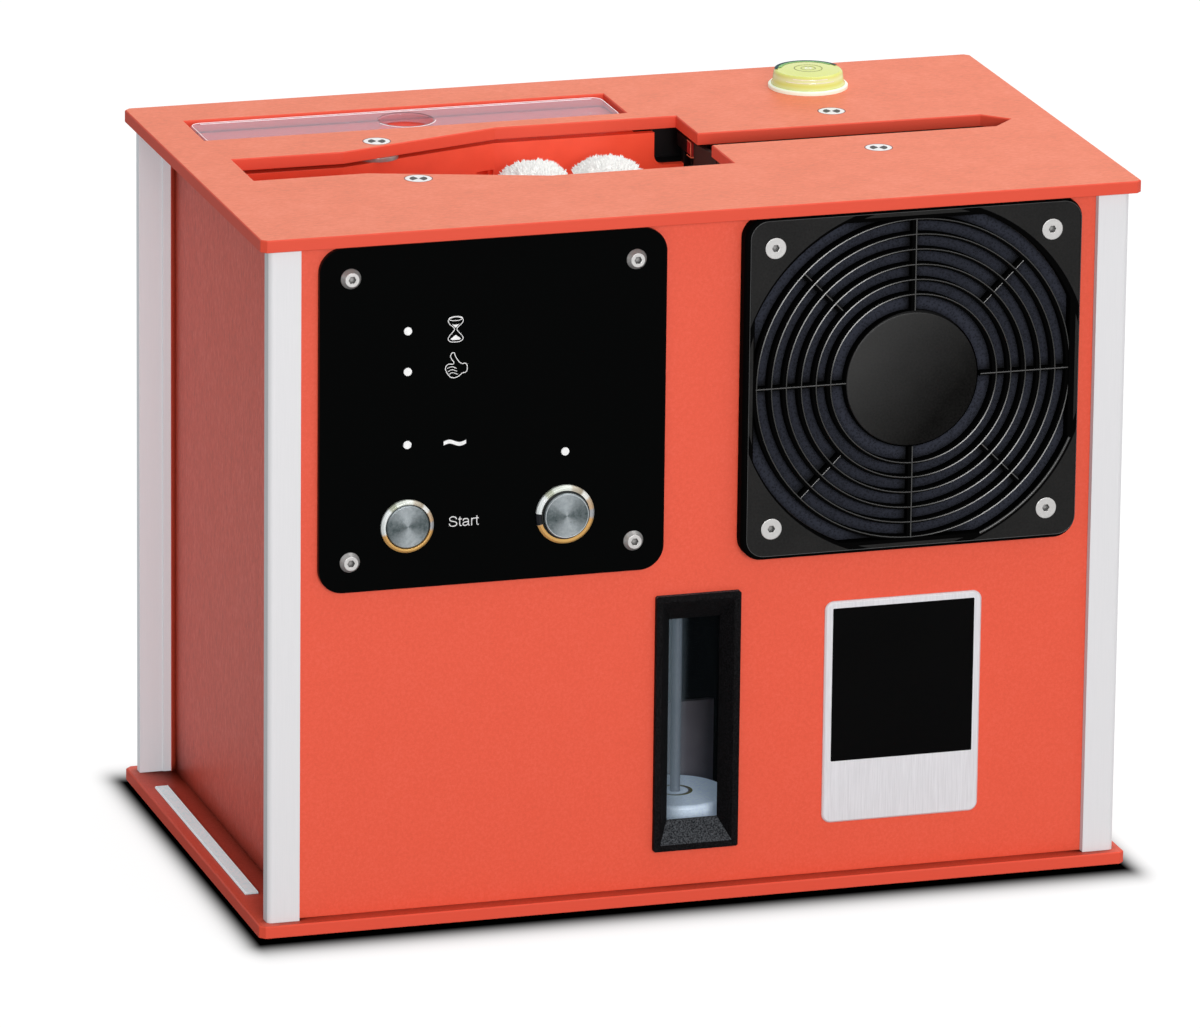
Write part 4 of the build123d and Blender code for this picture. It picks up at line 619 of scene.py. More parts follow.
paint(post_metal("post_aluminium", (0.64, 0.62, 0.625), 0.42), "corner_posts")
paint(metal("plate_aluminium", (0.76, 0.755, 0.785), 0.38, (1, 1, 0.04), 1900, 0.20, 0.07), "badge_plate")
# the strip has a painted glow
paint(metal("strip_aluminium", (0.80, 0.85, 0.86), 0.5, grain=1300, metallic=0.10, contrast=0.30,
            glow=((0.62, 0.93, 1.0), 0.27)), "ledge_strip")
paint(socket_steel("screw_steel", (0.62, 0.61, 0.60), 0.34, 0.65), "fan_screws", "control_plate_screws")
paint(socket_steel("bright_screw_steel", (0.84, 0.84, 0.84), 0.36, 0.35), "case_screws")
spacer_steel = metal("spacer_steel", (0.34, 0.33, 0.32), 0.3, (1, 1, 1), 900, 0.5)
paint(spacer_steel, "top_plate_spacers")
paint(metal("motor_steel", (0.50, 0.50, 0.51), 0.35, (1, 1, 0.1), 900),
      "roller_motor", "record_motor", "roller_pinion", "ultrasonic_transducer")
# shade and light of the painted highlight sectors on the button caps
CAP_DARK, CAP_LIGHT = (0.060, 0.082, 0.086), (0.37, 0.41, 0.43)
button_middles = []
for cap in ("start_button_cap", "mode_button_cap"):
    cap_low, cap_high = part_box(cap)
    cap_at = ((cap_low.x + cap_high.x) / 2, (cap_low.z + cap_high.z) / 2)
    button_middles.append(cap_at)
    paint(turned(cap + "_metal", CAP_DARK, CAP_LIGHT, cap_at, 0.30), cap)
paint(button_ring("ring_steel", button_middles), "button_housings")

paint(molded("black_plastic", (0.008, 0.008, 0.009), 0.45, 1100, specular=0.22),
      "dry_duct", "fan_frames", "front_fan_rotor", "rear_fan_rotor", "overflow_cup",
      "power_inlet", "switch_housing", "switch_rocker", "pump")
paint(guard_plastic(), "fan_guards")
paint(bezel_plastic(), "window_bezel")
paint(molded("black_rubber", (0.028, 0.014, 0.011), 0.6, 800, specular=0.3),
      "wiper_lips", "drive_wheel", "drain_cap")
paint(molded("foot_rubber", (0.01, 0.01, 0.01), 0.75, 800, specular=0.3), "rubber_feet")
paint(control_gloss(), "control_plate")
paint(foam("slate_foam", (0.024, 0.0265, 0.038)), "fan_foam")
paint(foam("white_foam", (0.75, 0.75, 0.70)), "filter_foam")

paint(cover_acrylic(), "clear_cover")
paint(pane_acrylic(), "window_pane")
paint(tank_acrylic(), "water_tank")
paint(molded("circuit_green", (0.02, 0.16, 0.06), 0.35), "circuit_board")
ROLLERS = ("front_left", "front_right", "rear_left", "rear_right")
paint(molded("white_plastic", (0.74, 0.76, 0.78), 0.4), "level_vial", "riser_pipe", "idler_wheel",
      *(f"{corner}_roller_{part}" for corner in ROLLERS for part in ("core", "sleeve")))
# the level's flange has a painted glow
paint(molded("flange_white", (0.82, 0.88, 0.74), 0.3, speckle=0.03, glow=((0.80, 1.0, 0.80), 0.16)),
      "level_base")
# the float has a painted glow
paint(molded("float_plastic", (0.66, 0.76, 0.88), 0.4, glow=((0.56, 0.76, 1.0), 0.17)), "float_disc")
paint(molded("stem_plastic", (0.15, 0.18, 0.22), 0.3), "float_stem")
print_white = molded("print_white", (0.92, 0.92, 0.92), 0.5, 600)
paint(print_white, "indicator_lamps")


# ---------- building fine pieces
def piece(name, data, material, body="case", slot=None, location=(0, 0, 0), scale=(1, 1, 1)):
    """An object of the part that moves with a body."""
    data.materials.append(material)
    o = bpy.data.objects.new(name, data)
    bpy.context.scene.collection.objects.link(o)
    o.location = location
    o.scale = scale
    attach(o, body)
    return o


def mesh_of(name, bm):
    mesh = bpy.data.meshes.new(name)
    bm.to_mesh(mesh)
    bm.free()
    return mesh


def around(centre, radius, angle):
    """The point at an angle on a circle."""
    return centre[0] + radius * math.cos(angle), centre[1] + radius * math.sin(angle)


def arc(centre, radius, start, turn, steps):
    """Points along part of a circle, with both of its ends."""
    return [around(centre, radius, start + turn * i / steps) for i in range(steps + 1)]


def circle(centre, radius):
    return arc(centre, radius, 0, FULL, 96)[:-1]


def rounded_box(centre, half_width, half_height, radius):
    """The outline of a rectangle with round corners."""
    outline = []
    for turn, (sx, sy) in enumerate(((1, 1), (-1, 1), (-1, -1), (1, -1))):
        corner = (centre[0] + sx * (half_width - radius), centre[1] + sy * (half_height - radius))
        outline += arc(corner, radius, turn * QUARTER, QUARTER, 8)
    return outline


def skin(bm, rings):
    """Smooth faces between closed rings of points, and a flat face at each end."""
    count = len(rings[0])
    for low, high in zip(rings, rings[1:]):
        for i in range(count):
            j = (i + 1) % count
            bm.faces.new((low[i], low[j], high[j], high[i])).smooth = True
    bm.faces.new(list(reversed(rings[0])))
    bm.faces.new(rings[-1])


def band(name, centre, low, high, material, body="case", start=0.0, turn=FULL, steps=72, slot=None):
    """A thin band from one (radius, height) to another, round an upright axis or part of the way."""
    bm = bmesh.new()
    inner, outer = [], []
    for i in range(steps + (turn < FULL)):
        for ring, (r, z) in ((inner, low), (outer, high)):
            ring.append(bm.verts.new((*around(centre, r, start + turn * i / steps), z)))
    for i in range(steps):
        j = (i + 1) % len(inner)
        bm.faces.new((inner[i], inner[j], outer[j], outer[i]))
    return piece(name, mesh_of(name, bm), material, body, slot)


def flat_band(name, centre, radii, z, material, **rest):
    band(name, centre, (radii[0], z), (radii[1], z), material, **rest)


def patch(name, points, y_front, y_back, material, slot=None):
    """A thin upright plate on an outline of (x, z) points."""
    bm = bmesh.new()
    front, back = ([bm.verts.new((x, y, z)) for x, z in points] for y in (y_front, y_back))
    bm.faces.new(front)
    bm.faces.new(list(reversed(back)))
    for i in range(len(points)):
        j = (i + 1) % len(points)
        bm.faces.new((front[j], front[i], back[i], back[j]))
    bmesh.ops.recalc_face_normals(bm, faces=bm.faces)
    return piece(name, mesh_of(name, bm), material, slot=slot)


def fine_line(name, points, radius, material, body="case", closed=True, smooth=False, **placing):
    """A thin rounded line through (x, y, z) points."""
    curve = bpy.data.curves.new(name, "CURVE")
    curve.dimensions = "3D"
    curve.bevel_depth = radius
    curve.bevel_resolution = 2
    curve.resolution_u = 6
    spline = curve.splines.new("BEZIER" if smooth else "POLY")
    if smooth:
        spline.bezier_points.add(len(points) - 1)
        for knot, at in zip(spline.bezier_points, points):
            knot.co = at
            knot.handle_left_type = knot.handle_right_type = "AUTO"
    else:
        spline.points.add(len(points) - 1)
        for knot, at in zip(spline.points, points):
            knot.co = (*at, 1)
    spline.use_cyclic_u = closed
    piece(name, curve, material, body, **placing)


# ---------- fluffy microfibre sleeves
TUFT_L = 2.3 * MM
TUFT_R = 0.8 * MM
TUFT_SIDES = 5
TUFT_DEPTH = 26 * MM        # how far below its shoulder a sleeve has tufts; the rest doesn't show
SIDE_TUFTS, TOP_TUFTS = 1300, 1000
SIDE_SET, TOP_SET = 0.5 * MM, 0.4 * MM      # how deep the tufts' feet lie in the pile
SLEEVE_STEPS, SLEEVE_ROWS = 72, 50
PILE_IN = 1.0 * MM          # how far the wavy pile lies within the plain sleeve
SHOULDER_DROP = 3.5 * MM    # from a plain sleeve's top to the shoulder, where the pile's dome begins
DOME_H = 4.3 * MM
DOME = ((0.97, 1.4), (0.89, 2.6), (0.74, 3.5), (0.5, 4.1), (0.2, 4.3))      # share of the radius, mm up
SWELL, SWELL_ROUND, SWELL_L = 0.9 * MM, 3.2, 8 * MM     # height, rate round a sleeve, length along it
fluff = microfibre()


def add_tuft(bm, root, outward):
    """One tuft of the pile: a short pointed lock that leans outwards."""
    size = rng.uniform(0.6, 1.2)
    lean = (outward.normalized() + Vector([rng.uniform(-0.5, 0.5) for _ in range(3)])).normalized()
    side = lean.orthogonal().normalized()
    across = lean.cross(side)
    tip = bm.verts.new(root + lean * TUFT_L * size)
    foot = []
    for i in range(TUFT_SIDES):
        a = FULL * i / TUFT_SIDES
        foot.append(bm.verts.new(root + TUFT_R * (side * math.cos(a) + across * math.sin(a))))
    for i in range(TUFT_SIDES):
        bm.faces.new((foot[i], foot[(i + 1) % TUFT_SIDES], tip)).smooth = True


def swell(a, z):
    """Slow swelling of the pile round a sleeve."""
    return SWELL * wave.noise(Vector((*around((0, 0), SWELL_ROUND, a), z / SWELL_L)))


def fluffy_sleeve(corner):
    """A sleeve with a wavy pile, rounded at its top, and pointed tufts on the part that shows."""
    node = f"{corner}_roller_sleeve"
    low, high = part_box(node)
    middle = (low + high) / 2
    r = (high.x - low.x) / 2 - PILE_IN
    shoulder = high.z - SHOULDER_DROP
    outline = [(r, low.z + (shoulder - low.z) * k / SLEEVE_ROWS) for k in range(SLEEVE_ROWS + 1)]
    outline += [(share * r, shoulder + rise * MM) for share, rise in DOME]
    bm = bmesh.new()
    rings = []
    for ring_r, z in outline:
        ring = []
        for i in range(SLEEVE_STEPS):
            a = FULL * i / SLEEVE_STEPS
            wavy_r = ring_r + rng.uniform(-0.4, 0.4) * MM + swell(a, z)
            ring.append(bm.verts.new((*around(middle, wavy_r, a), z)))
        rings.append(ring)
    skin(bm, rings)
    for _ in range(SIDE_TUFTS):
        a = rng.uniform(0, FULL)
        z = shoulder - TUFT_DEPTH * rng.random() ** 1.5
        root = Vector((*around(middle, r - SIDE_SET + swell(a, z), a), z))
        add_tuft(bm, root, Vector((math.cos(a), math.sin(a), 0.25)))
    for _ in range(TOP_TUFTS):
        a = rng.uniform(0, FULL)
        share = math.sqrt(rng.random())
        z = shoulder + DOME_H * (1 - share ** 4) + 1.2 * swell(a, high.z + share * 9 * MM)
        root = Vector((*around(middle, r * share, a), z - TOP_SET))
        add_tuft(bm, root, Vector((share * math.cos(a), share * math.sin(a), 1.0)))
    sleeve = piece(f"{corner}_fluffy_sleeve", mesh_of(f"{corner}_fluff", bm), fluff, f"{corner}_roller")
    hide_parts(node)


for corner in ROLLERS:
    fluffy_sleeve(corner)

# ---------- round level
# a white flange below, a clear yellow-green vial with a bubble and two rings
level_mid = (level_low + level_high) / 2
flange_low, flange_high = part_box("level_base")
FOOT_IN, CROWN_IN = 1.0 * MM, 0.9 * MM      # how far foot and crown lie within the flange and the node
foot_r = (flange_high.x - flange_low.x) / 2 - FOOT_IN
crown_r = (level_high.x - level_low.x) / 2 - CROWN_IN
FOOT_OUTLINE = ((0, 0), (0, 0.2), (-0.5, 0.8))      # mm out from the foot's radius, and up
CROWN_OUTLINE = ((0.2, -1.1), (-0.1, -0.6), (-0.6, -0.3), (-1.3, -0.35), (-3.5, -0.12), (-7, -0.03))
vial_profile = [(foot_r + out * MM, level_low.z + rise * MM) for out, rise in FOOT_OUTLINE]
vial_profile += [(crown_r + out * MM, level_high.z + rise * MM) for out, rise in CROWN_OUTLINE]
vial_profile.append((1.0 * MM, level_high.z))
bm = bmesh.new()
skin(bm, [[bm.verts.new((*at, z)) for at in circle(level_mid, r)] for r, z in vial_profile])
vial_mesh = mesh_of("level_vial_body", bm)
vial_mesh.set_sharp_from_angle(angle=math.radians(35))
vial = piece("level_vial_body", vial_mesh, vial_green())
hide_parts("level_vial")
ring_dark = molded("level_ring", (0.22, 0.24, 0.04), 0.4, 600)
rim_green = molded("level_rim_green", (0.26, 0.50, 0.20), 0.6, 600, specular=0.05)
rim_teal = molded("level_rim", (0.045, 0.085, 0.090), 0.6, 600, specular=0.03)
glint_white = molded("level_glint", (0.93, 0.95, 0.85), 0.1, 600)


def level_line(name, low, high, material, start=0, turn=360):
    """A line on the level, from an angle on and over a turn, both in degrees."""
    band(name, level_mid, low, high, material, start=math.radians(start), turn=math.radians(turn),
         slot="level_green")


TOP_LINE = level_high.z + 0.03 * MM
# rings and bubble on the vial's top, and painted shade in two arcs along the rear half of its rim
for label, r, width, z, finish, start, turn in (
        ("ring_inner", 2.7, 0.35, TOP_LINE, ring_dark, 0, 360),
        ("ring_outer", 5.2, 0.35, TOP_LINE, ring_dark, 0, 360),
        ("bubble", 1.1, 0.5, TOP_LINE, glint_white, 0, 360),
        ("rim", crown_r / MM - 0.75, 1.3, level_high.z - 0.12 * MM, rim_teal, 12, 156),
        ("rim_inner", crown_r / MM - 2.1, 1.3, level_high.z - 0.08 * MM, rim_green, 22, 136)):
    level_line(f"level_{label}", ((r - width / 2) * MM, z), ((r + width / 2) * MM, z), finish, start, turn)
(side_r, side_z), (top_r, top_z) = vial_profile[2:4]     # the two ends of the vial's sloping side
slope = (side_r - top_r) / (top_z - side_z)
# painted highlights: two short light lines on the near side of the vial's slope
GLINT_H = 0.25 * MM
GLINT_OUT = 0.04 * MM
GLINT_ANGLE = -104          # where the glints' middles lie, in degrees
for label, height, length in (("low", 2.7 * MM, 86), ("high", 3.9 * MM, 60)):
    line_z = level_low.z + height
    line_r = side_r - (line_z - side_z) * slope + GLINT_OUT
    level_line(f"level_glint_{label}", (line_r, line_z), (line_r - GLINT_H * slope, line_z + GLINT_H),
               glint_white, GLINT_ANGLE - length / 2, length)

# ---------- rings at the foot of the float's stem: a steel ring, and a ring of painted shadow round it
stem_low, stem_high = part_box("float_stem")
STEM_R = (stem_high.x - stem_low.x) / 2
for label, start, end, finish in (("steel", 0.4, 1.3, spacer_steel), ("shadow", 1.3, 2.0, ring_dark)):
    flat_band(f"float_ring_{label}", (stem_low + stem_high) / 2, (STEM_R + start * MM, STEM_R + end * MM),
              float_high.z + 0.05 * MM, finish, body="float")

# ---------- printed icons and word
plate_low, plate_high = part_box("control_plate")
PLATE_FACE = plate_low.y
PRINT_T = 0.08 * MM
lamp_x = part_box("indicator_lamps")[0].x
ICON_X, WORD_X = lamp_x + 19.2 * MM, lamp_x + 16.9 * MM
DROPS = (32.5, 45.8, 74.6, 105.9)       # mm from the plate's top to the icons' middles and the word's foot
HOURGLASS_Z, THUMB_Z, WAVE_Z, WORD_Z = (plate_high.z - drop * MM for drop in DROPS)
GLASS_STROKE, THUMB_STROKE, FINGER_STROKE, WORD_STROKE = 0.34 * MM, 0.36 * MM, 0.30 * MM, 0.40 * MM


def printed_line(name, centre, points, width, closed=True, smooth=True):
    """A printed stroke through (x, z) points in millimetres from its centre."""
    fine_line(name, [(x * MM, 0, z * MM) for x, z in points], width / 2, print_white, closed=closed,
              smooth=smooth, location=(centre[0], PLATE_FACE, centre[1]), scale=(1, PRINT_T / (width / 2), 1))


def printed_patch(name, centre, points):
    """A printed filled outline, as a thin raised patch."""
    outline = [(centre[0] + x * MM, centre[1] + z * MM) for x, z in points]
    patch(name, outline, PLATE_FACE - PRINT_T, PLATE_FACE, print_white)


glass_side = [(2.0, 4.1), (2.75, 3.4), (2.35, 2.1), (1.25, 1.1), (0.45, 0.0), (1.3, -1.3), (2.5, -2.7),
              (2.75, -3.7), (2.0, -4.45), (0.0, -4.75)]
glass = glass_side + [(-x, z) for x, z in reversed(glass_side[:-1])]
hourglass_at = (ICON_X, HOURGLASS_Z)
printed_line("icon_hourglass", hourglass_at, glass, GLASS_STROKE)
RIM_ANGLES = (0, 0.8, 1.57, 2.34, 3.14, 3.94, 4.71, 5.5)
glass_rim = [(2.5 * math.cos(a), 3.9 + 0.75 * math.sin(a)) for a in RIM_ANGLES]
printed_line("icon_hourglass_rim", hourglass_at, glass_rim, GLASS_STROKE)
printed_patch("icon_sand_top", hourglass_at, [(-1.4, 2.0), (-0.6, 1.7), (0.6, 1.7), (1.4, 2.0), (0.0, 0.4)])
printed_patch("icon_sand_low", hourglass_at,
              [(-2.0, -3.6), (-1.1, -2.9), (0.0, -2.1), (1.1, -2.9), (2.0, -3.6), (1.3, -4.0), (-1.3, -4.0)])
thumb_at = (ICON_X + 0.3 * MM, THUMB_Z)
thumb = [(-1.1, 4.7), (-2.1, 3.5), (-1.7, 2.2), (-0.9, 0.7), (-3.1, 0.4), (-4.0, -0.8),
         (-3.7, -2.1), (-2.9, -3.5), (-1.7, -4.5), (0.5, -4.4), (2.4, -3.1), (3.6, -2.8),
         (4.1, -1.0), (3.5, 0.4), (2.1, 0.4), (-0.2, 3.0)]
printed_line("icon_thumb", thumb_at, thumb, THUMB_STROKE)
for i, z in enumerate((-0.9, -2.0, -3.1)):
    finger = [(-3.4 + 0.4 * i, z - 0.2), (-1.6, z + 0.35), (0.1 + 0.2 * i, z - 0.35)]
    printed_line(f"icon_finger_{i}", thumb_at, finger, FINGER_STROKE, closed=False)
WAVE_HALF = 0.72            # half thickness of the wave, in millimetres
wave_mid = [(-4.2 + 0.7 * i, 0.62 * math.sin(FULL * (i / 12 + 0.02)) + 0.10 * (i - 6) / 6) for i in range(13)]
wave_outline = [(x, z + WAVE_HALF) for x, z in wave_mid] + [(x, z - WAVE_HALF) for x, z in reversed(wave_mid)]
printed_patch("icon_wave", (ICON_X, WAVE_Z), wave_outline)

WORD_EM = 5.45              # letter size in millimetres
LETTERS = {
    "S": [[(0.57, 0.50), (0.53, 0.60), (0.43, 0.665), (0.33, 0.68), (0.20, 0.655), (0.12, 0.59),
           (0.11, 0.50), (0.16, 0.42), (0.33, 0.365), (0.50, 0.31), (0.585, 0.22), (0.56, 0.11),
           (0.46, 0.045), (0.34, 0.03), (0.20, 0.055), (0.11, 0.13), (0.085, 0.24)]],
    "t": [[(0.135, 0.66), (0.135, 0.12), (0.155, 0.055), (0.20, 0.035), (0.265, 0.04)],
          [(0.02, 0.485), (0.26, 0.485)]],
    "a": [[(0.08, 0.36), (0.12, 0.455), (0.26, 0.49), (0.40, 0.455), (0.445, 0.36), (0.445, 0.14),
           (0.50, 0.0)],
          [(0.445, 0.29), (0.28, 0.265), (0.13, 0.23), (0.075, 0.14), (0.12, 0.055), (0.22, 0.03),
           (0.36, 0.075), (0.44, 0.17)]],
    "r": [[(0.11, 0.0), (0.11, 0.515)], [(0.11, 0.33), (0.15, 0.43), (0.23, 0.48), (0.335, 0.465)]]}
WORD = (("S", 0.0), ("t", 0.667), ("a", 0.945), ("r", 1.501), ("t", 1.834))
for i, (letter, shift) in enumerate(WORD):
    for k, stroke in enumerate(LETTERS[letter]):
        points = [((x + shift) * WORD_EM, z * WORD_EM) for x, z in stroke]
        printed_line(f"word_start_{i}{k}", (WORD_X, WORD_Z), points, WORD_STROKE, closed=False,
                     smooth=len(points) > 2)

# ---------- bare black field on the badge plate
badge_low, badge_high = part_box("badge_plate")
FIELD_SIDE = 2.9 * MM
FIELD_TOP = 2.6 * MM
FIELD_BOTTOM = 23.6 * MM
FIELD_ROUND = 0.4 * MM
field_at = ((badge_low.x + badge_high.x) / 2, (badge_low.z + FIELD_BOTTOM + badge_high.z - FIELD_TOP) / 2)
field_half = ((badge_high.x - badge_low.x) / 2 - FIELD_SIDE, badge_high.z - FIELD_TOP - field_at[1])
field = rounded_box(field_at, *field_half, FIELD_ROUND)
badge_black = molded("badge_black", (0.0015, 0.0015, 0.0016), 0.35, specular=0.03)
patch("badge_field", field, badge_low.y - 0.05 * MM, badge_low.y + 0.02 * MM, badge_black, "black_gloss")

# ---------- round corner of the chamber's notch
NOTCH_ROUND = 4 * MM
CHAMBER_WALL = 3 * MM
cup_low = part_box("overflow_cup")[0]
notch_x, notch_z = cup_low.x + CUP_WALL, cup_low.z + CUP_WALL
notch_arc = arc((notch_x + NOTCH_ROUND, notch_z + NOTCH_ROUND), NOTCH_ROUND, math.pi, QUARTER, 8)
patch("notch_corner", [(notch_x, notch_z), *reversed(notch_arc)], cup_low.y - CHAMBER_WALL, cup_low.y,
      chamber_red)


# ---------- fine lines along edges
def line_plastic(name, color, rough=0.3, **settings):
    """Plastic of a thin line, too thin for rounded edges."""
    return molded(name, color, rough, edge=0.0, **settings)


# painted highlight along the inner edge of the ledge strip
strip_low, strip_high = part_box("ledge_strip")
EDGE_IN = 0.25 * MM
STRIP_LINE_R = 0.18 * MM
strip_ends = (strip_low.y + EDGE_IN, strip_high.y - EDGE_IN)
strip_edge = [(strip_high.x - EDGE_IN, y, strip_high.z) for y in strip_ends]
strip_glint = line_plastic("strip_glint", (0.95, 0.95, 0.95))
fine_line("ledge_strip_edge", strip_edge, STRIP_LINE_R, strip_glint, closed=False)

# painted highlight lines round the inner end of each wiper clip
clip_low, clip_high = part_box("wiper_clips")
clip_edge = line_plastic("clip_edge", (0.88, 0.20, 0.10), 0.4)
CLIP_SIDE_R, CLIP_SILL_R = 0.20 * MM, 0.30 * MM
for label, sign in (("front", -1), ("rear", 1)):
    end_y, far_y = sign * (CLIP_Y - 0.05 * MM), sign * (CLIP_Y + CLIP_LIT)
    side = [(clip_low.x, y, z) for y, z in ((far_y, clip_high.z), (end_y, clip_high.z),
                                            (end_y, clip_low.z), (far_y, clip_low.z))]
    sill = [(x, end_y, clip_low.z) for x in (clip_low.x, clip_high.x)]
    fine_line(f"clip_side_{label}", side, CLIP_SIDE_R, clip_edge, closed=False)
    fine_line(f"clip_sill_{label}", sill, CLIP_SILL_R, clip_edge, closed=False)

# the fan guards: painted highlight lines where the face meets its dark rim, along the crests of the ribs and
# spokes, and on the opening's lower right chamfer
RING_RADII = [r * MM for r in (59.7, 54.0, 48.4, 42.7, 37.1, 31.6)]
LIT_CORNER = 3              # the quarter of the opening whose chamfer gets a painted highlight: lower right
EDGE_SET = 0.06 * MM        # how deep lines lie: on edges, on ribs and long spokes, on short spokes
RIB_SET = 0.65 * MM
SPOKE_SET = 1.25 * MM
EDGE_R, OPENING_R, CREST_R = 0.14 * MM, 0.5 * MM, 0.24 * MM
edge_sheen = molded("guard_edge_sheen", (0.040, 0.042, 0.043), 0.3)
opening_gloss = line_plastic("guard_opening_gloss", (0.026, 0.026, 0.025), specular=0.6)
spoke_gloss = line_plastic("guard_spoke_gloss", (0.032, 0.032, 0.031), 0.18, specular=0.9)
crest_gloss = crest_plastic()


def guard_line(name, points, y, radius, material, closed=True):
    fine_line(name, [(x, y, z) for x, z in points], radius, material, closed=closed)


for side, face_y, inward in (("front", guard_low.y, 1), ("rear", guard_high.y, -1)):
    edge_y = face_y + inward * EDGE_SET
    crest_y = face_y + inward * RIB_SET
    square = rounded_box(FAN_AXIS, GUARD_HALF - GUARD_RIM, GUARD_HALF - GUARD_RIM, GUARD_ROUND - GUARD_RIM)
    guard_line(f"guard_edge_{side}", square, edge_y, EDGE_R, edge_sheen)
    for i, r in enumerate(RING_RADII):
        guard_line(f"guard_crest_{side}_{i}", circle(FAN_AXIS, r), crest_y, CREST_R, crest_gloss)
    cut = math.acos(BAR_END / OPEN_R)
    lit_arc = arc(FAN_AXIS, OPEN_R, LIT_CORNER * QUARTER + cut, QUARTER - 2 * cut, 20)
    guard_line(f"guard_opening_{side}", lit_arc, edge_y, OPENING_R, opening_gloss, closed=False)
    for i in range(8):
        ends, y = (HUB_R, BAR_END), crest_y
        if i % 2:
            ends, y = (RING_RADII[4], RING_RADII[0]), face_y + inward * SPOKE_SET
        spoke = [around(FAN_AXIS, r, i * math.pi / 4) for r in ends]
        guard_line(f"guard_spoke_{side}_{i}", spoke, y, CREST_R, spoke_gloss, closed=False)

# painted shade in the gap between the mode button's cap and its ring, shifted left, and a painted highlight
# on the cap's rim
mode_low, mode_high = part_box("mode_button_cap")
MODE_GAP_R = (mode_high.x - mode_low.x) / 2 + 0.30 * MM
GAP_SHIFT = 0.10 * MM
CAP_RIM_IN = 0.75 * MM
GAP_LINE_R, RIM_LINE_R = 0.38 * MM, 0.15 * MM
mode_x, mode_z = button_middles[1]
gap_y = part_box("button_housings")[0].y
gap_ring = [(x, gap_y, z) for x, z in circle((mode_x - GAP_SHIFT, mode_z), MODE_GAP_R)]
cap_rim = [(x, mode_low.y, z) for x, z in circle((mode_x, mode_z), MODE_GAP_R - CAP_RIM_IN)]
gap_dark = line_plastic("button_gap", (0.012, 0.014, 0.013), 0.4, specular=0.2)
rim_light = line_plastic("button_rim_light", (0.50, 0.55, 0.57))
fine_line("mode_gap", gap_ring, GAP_LINE_R, gap_dark)
fine_line("mode_cap_rim", cap_rim, RIM_LINE_R, rim_light, "mode_button")

# painted highlights along the edges of the clear cover and on the near side of its finger hole, with painted
# shade round the hole
cover_low, cover_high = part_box("clear_cover")
cover_mid = (cover_low + cover_high) / 2
COVER_ROUND = 4 * MM
COVER_IN = 0.45 * MM
BACK_IN = 2.2 * MM
FINGER_R = 10 * MM          # the hole, and how far outside it its dark and its bright line run
HOLE_SHADE_OUT, HOLE_GLINT_OUT = 0.4 * MM, 1.0 * MM
COVER_LINE_R = 0.13 * MM
cover_glint = line_plastic("cover_glint", (0.92, 0.86, 0.87), 0.25, glow=((1.0, 0.92, 0.93), 0.25))
hole_shade = line_plastic("cover_hole_shade", (0.20, 0.10, 0.11))


def cover_line(name, points, material=cover_glint, closed=True):
    glint_z = cover_high.z - 0.05 * MM
    fine_line(name, [(x, y, glint_z) for x, y in points], COVER_LINE_R, material, "cover", closed)


half_size = (cover_high - cover_low) / 2
cover_line("cover_edge", rounded_box(cover_mid, half_size.x - COVER_IN, half_size.y - COVER_IN, COVER_ROUND))
back_ends = (cover_low.x + COVER_ROUND, cover_high.x - COVER_ROUND)
cover_line("cover_back_glint", [(x, cover_high.y - BACK_IN) for x in back_ends], closed=False)
cover_line("cover_hole_shade", arc(cover_mid, FINGER_R + HOLE_SHADE_OUT, 0, FULL, 48)[:-1], hole_shade)
near_side = arc(cover_mid, FINGER_R + HOLE_GLINT_OUT, math.radians(195), math.radians(150), 48)
cover_line("cover_hole_glint", near_side[:-1], closed=False)

# painted reflections in the dished heads of the top plate's screws, two dark wings and a light middle, and a
# painted shadow line round their heads
TOP_SCREW_AT = (87.5 * MM, 27.5 * MM)
SCREW_HEAD_R = 4.9 * MM
WING_R = (0.08 * SCREW_HEAD_R, 0.66 * SCREW_HEAD_R)     # the two dark wings of painted reflection in a dish
WING_SPREAD = 54            # half a wing's spread, in degrees
DISH_LIGHT_R = (0.2 * MM, 0.36 * SCREW_HEAD_R)
SEAT_R = (SCREW_HEAD_R, SCREW_HEAD_R + 0.35 * MM)
top_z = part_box("top_plate")[1].z
light_z, dark_z = top_z + 0.015 * MM, top_z + 0.02 * MM
dish_shade = line_plastic("screw_dish_shade", (0.016, 0.015, 0.015), 0.4, specular=0.2)
dish_light = line_plastic("screw_dish_light", (0.80, 0.80, 0.80))
seat_shade = line_plastic("screw_seat_shade", (0.16, 0.020, 0.012), 0.5)
for sx, side in ((-1, "left"), (1, "right")):
    for sy, end in ((-1, "front"), (1, "rear")):
        at = (sx * TOP_SCREW_AT[0], sy * TOP_SCREW_AT[1])
        dish = f"screw_dish_{side}_{end}"
        for label, middle_angle in (("a", -17), ("b", 163)):
            flat_band(f"{dish}_{label}", at, WING_R, dark_z, dish_shade, steps=24,
                      start=math.radians(middle_angle - WING_SPREAD), turn=math.radians(2 * WING_SPREAD))
        flat_band(f"{dish}_middle", at, DISH_LIGHT_R, light_z, dish_light, steps=24)
        flat_band(f"screw_seat_{side}_{end}", at, SEAT_R, dark_z, seat_shade)

# ---------- floor, light and camera
FLOOR_HALF = 6.0
SHADE_REACH = (0.0047, 0.0090)          # how far the painted shadow round the machine's box spreads, in x and y
FLOOR_GLOW, FLOOR_SHADE = 0.94, 0.13    # even white of the backdrop, and the share that takes shadows


def is_ray(tree, *kinds):
    """1 for light rays of any of these kinds."""
    path = add(tree, "ShaderNodeLightPath")
    found = Field(path.outputs[kinds[0]])
    for kind in kinds[1:]:
        found = largest(found, Field(path.outputs[kind]))
    return found


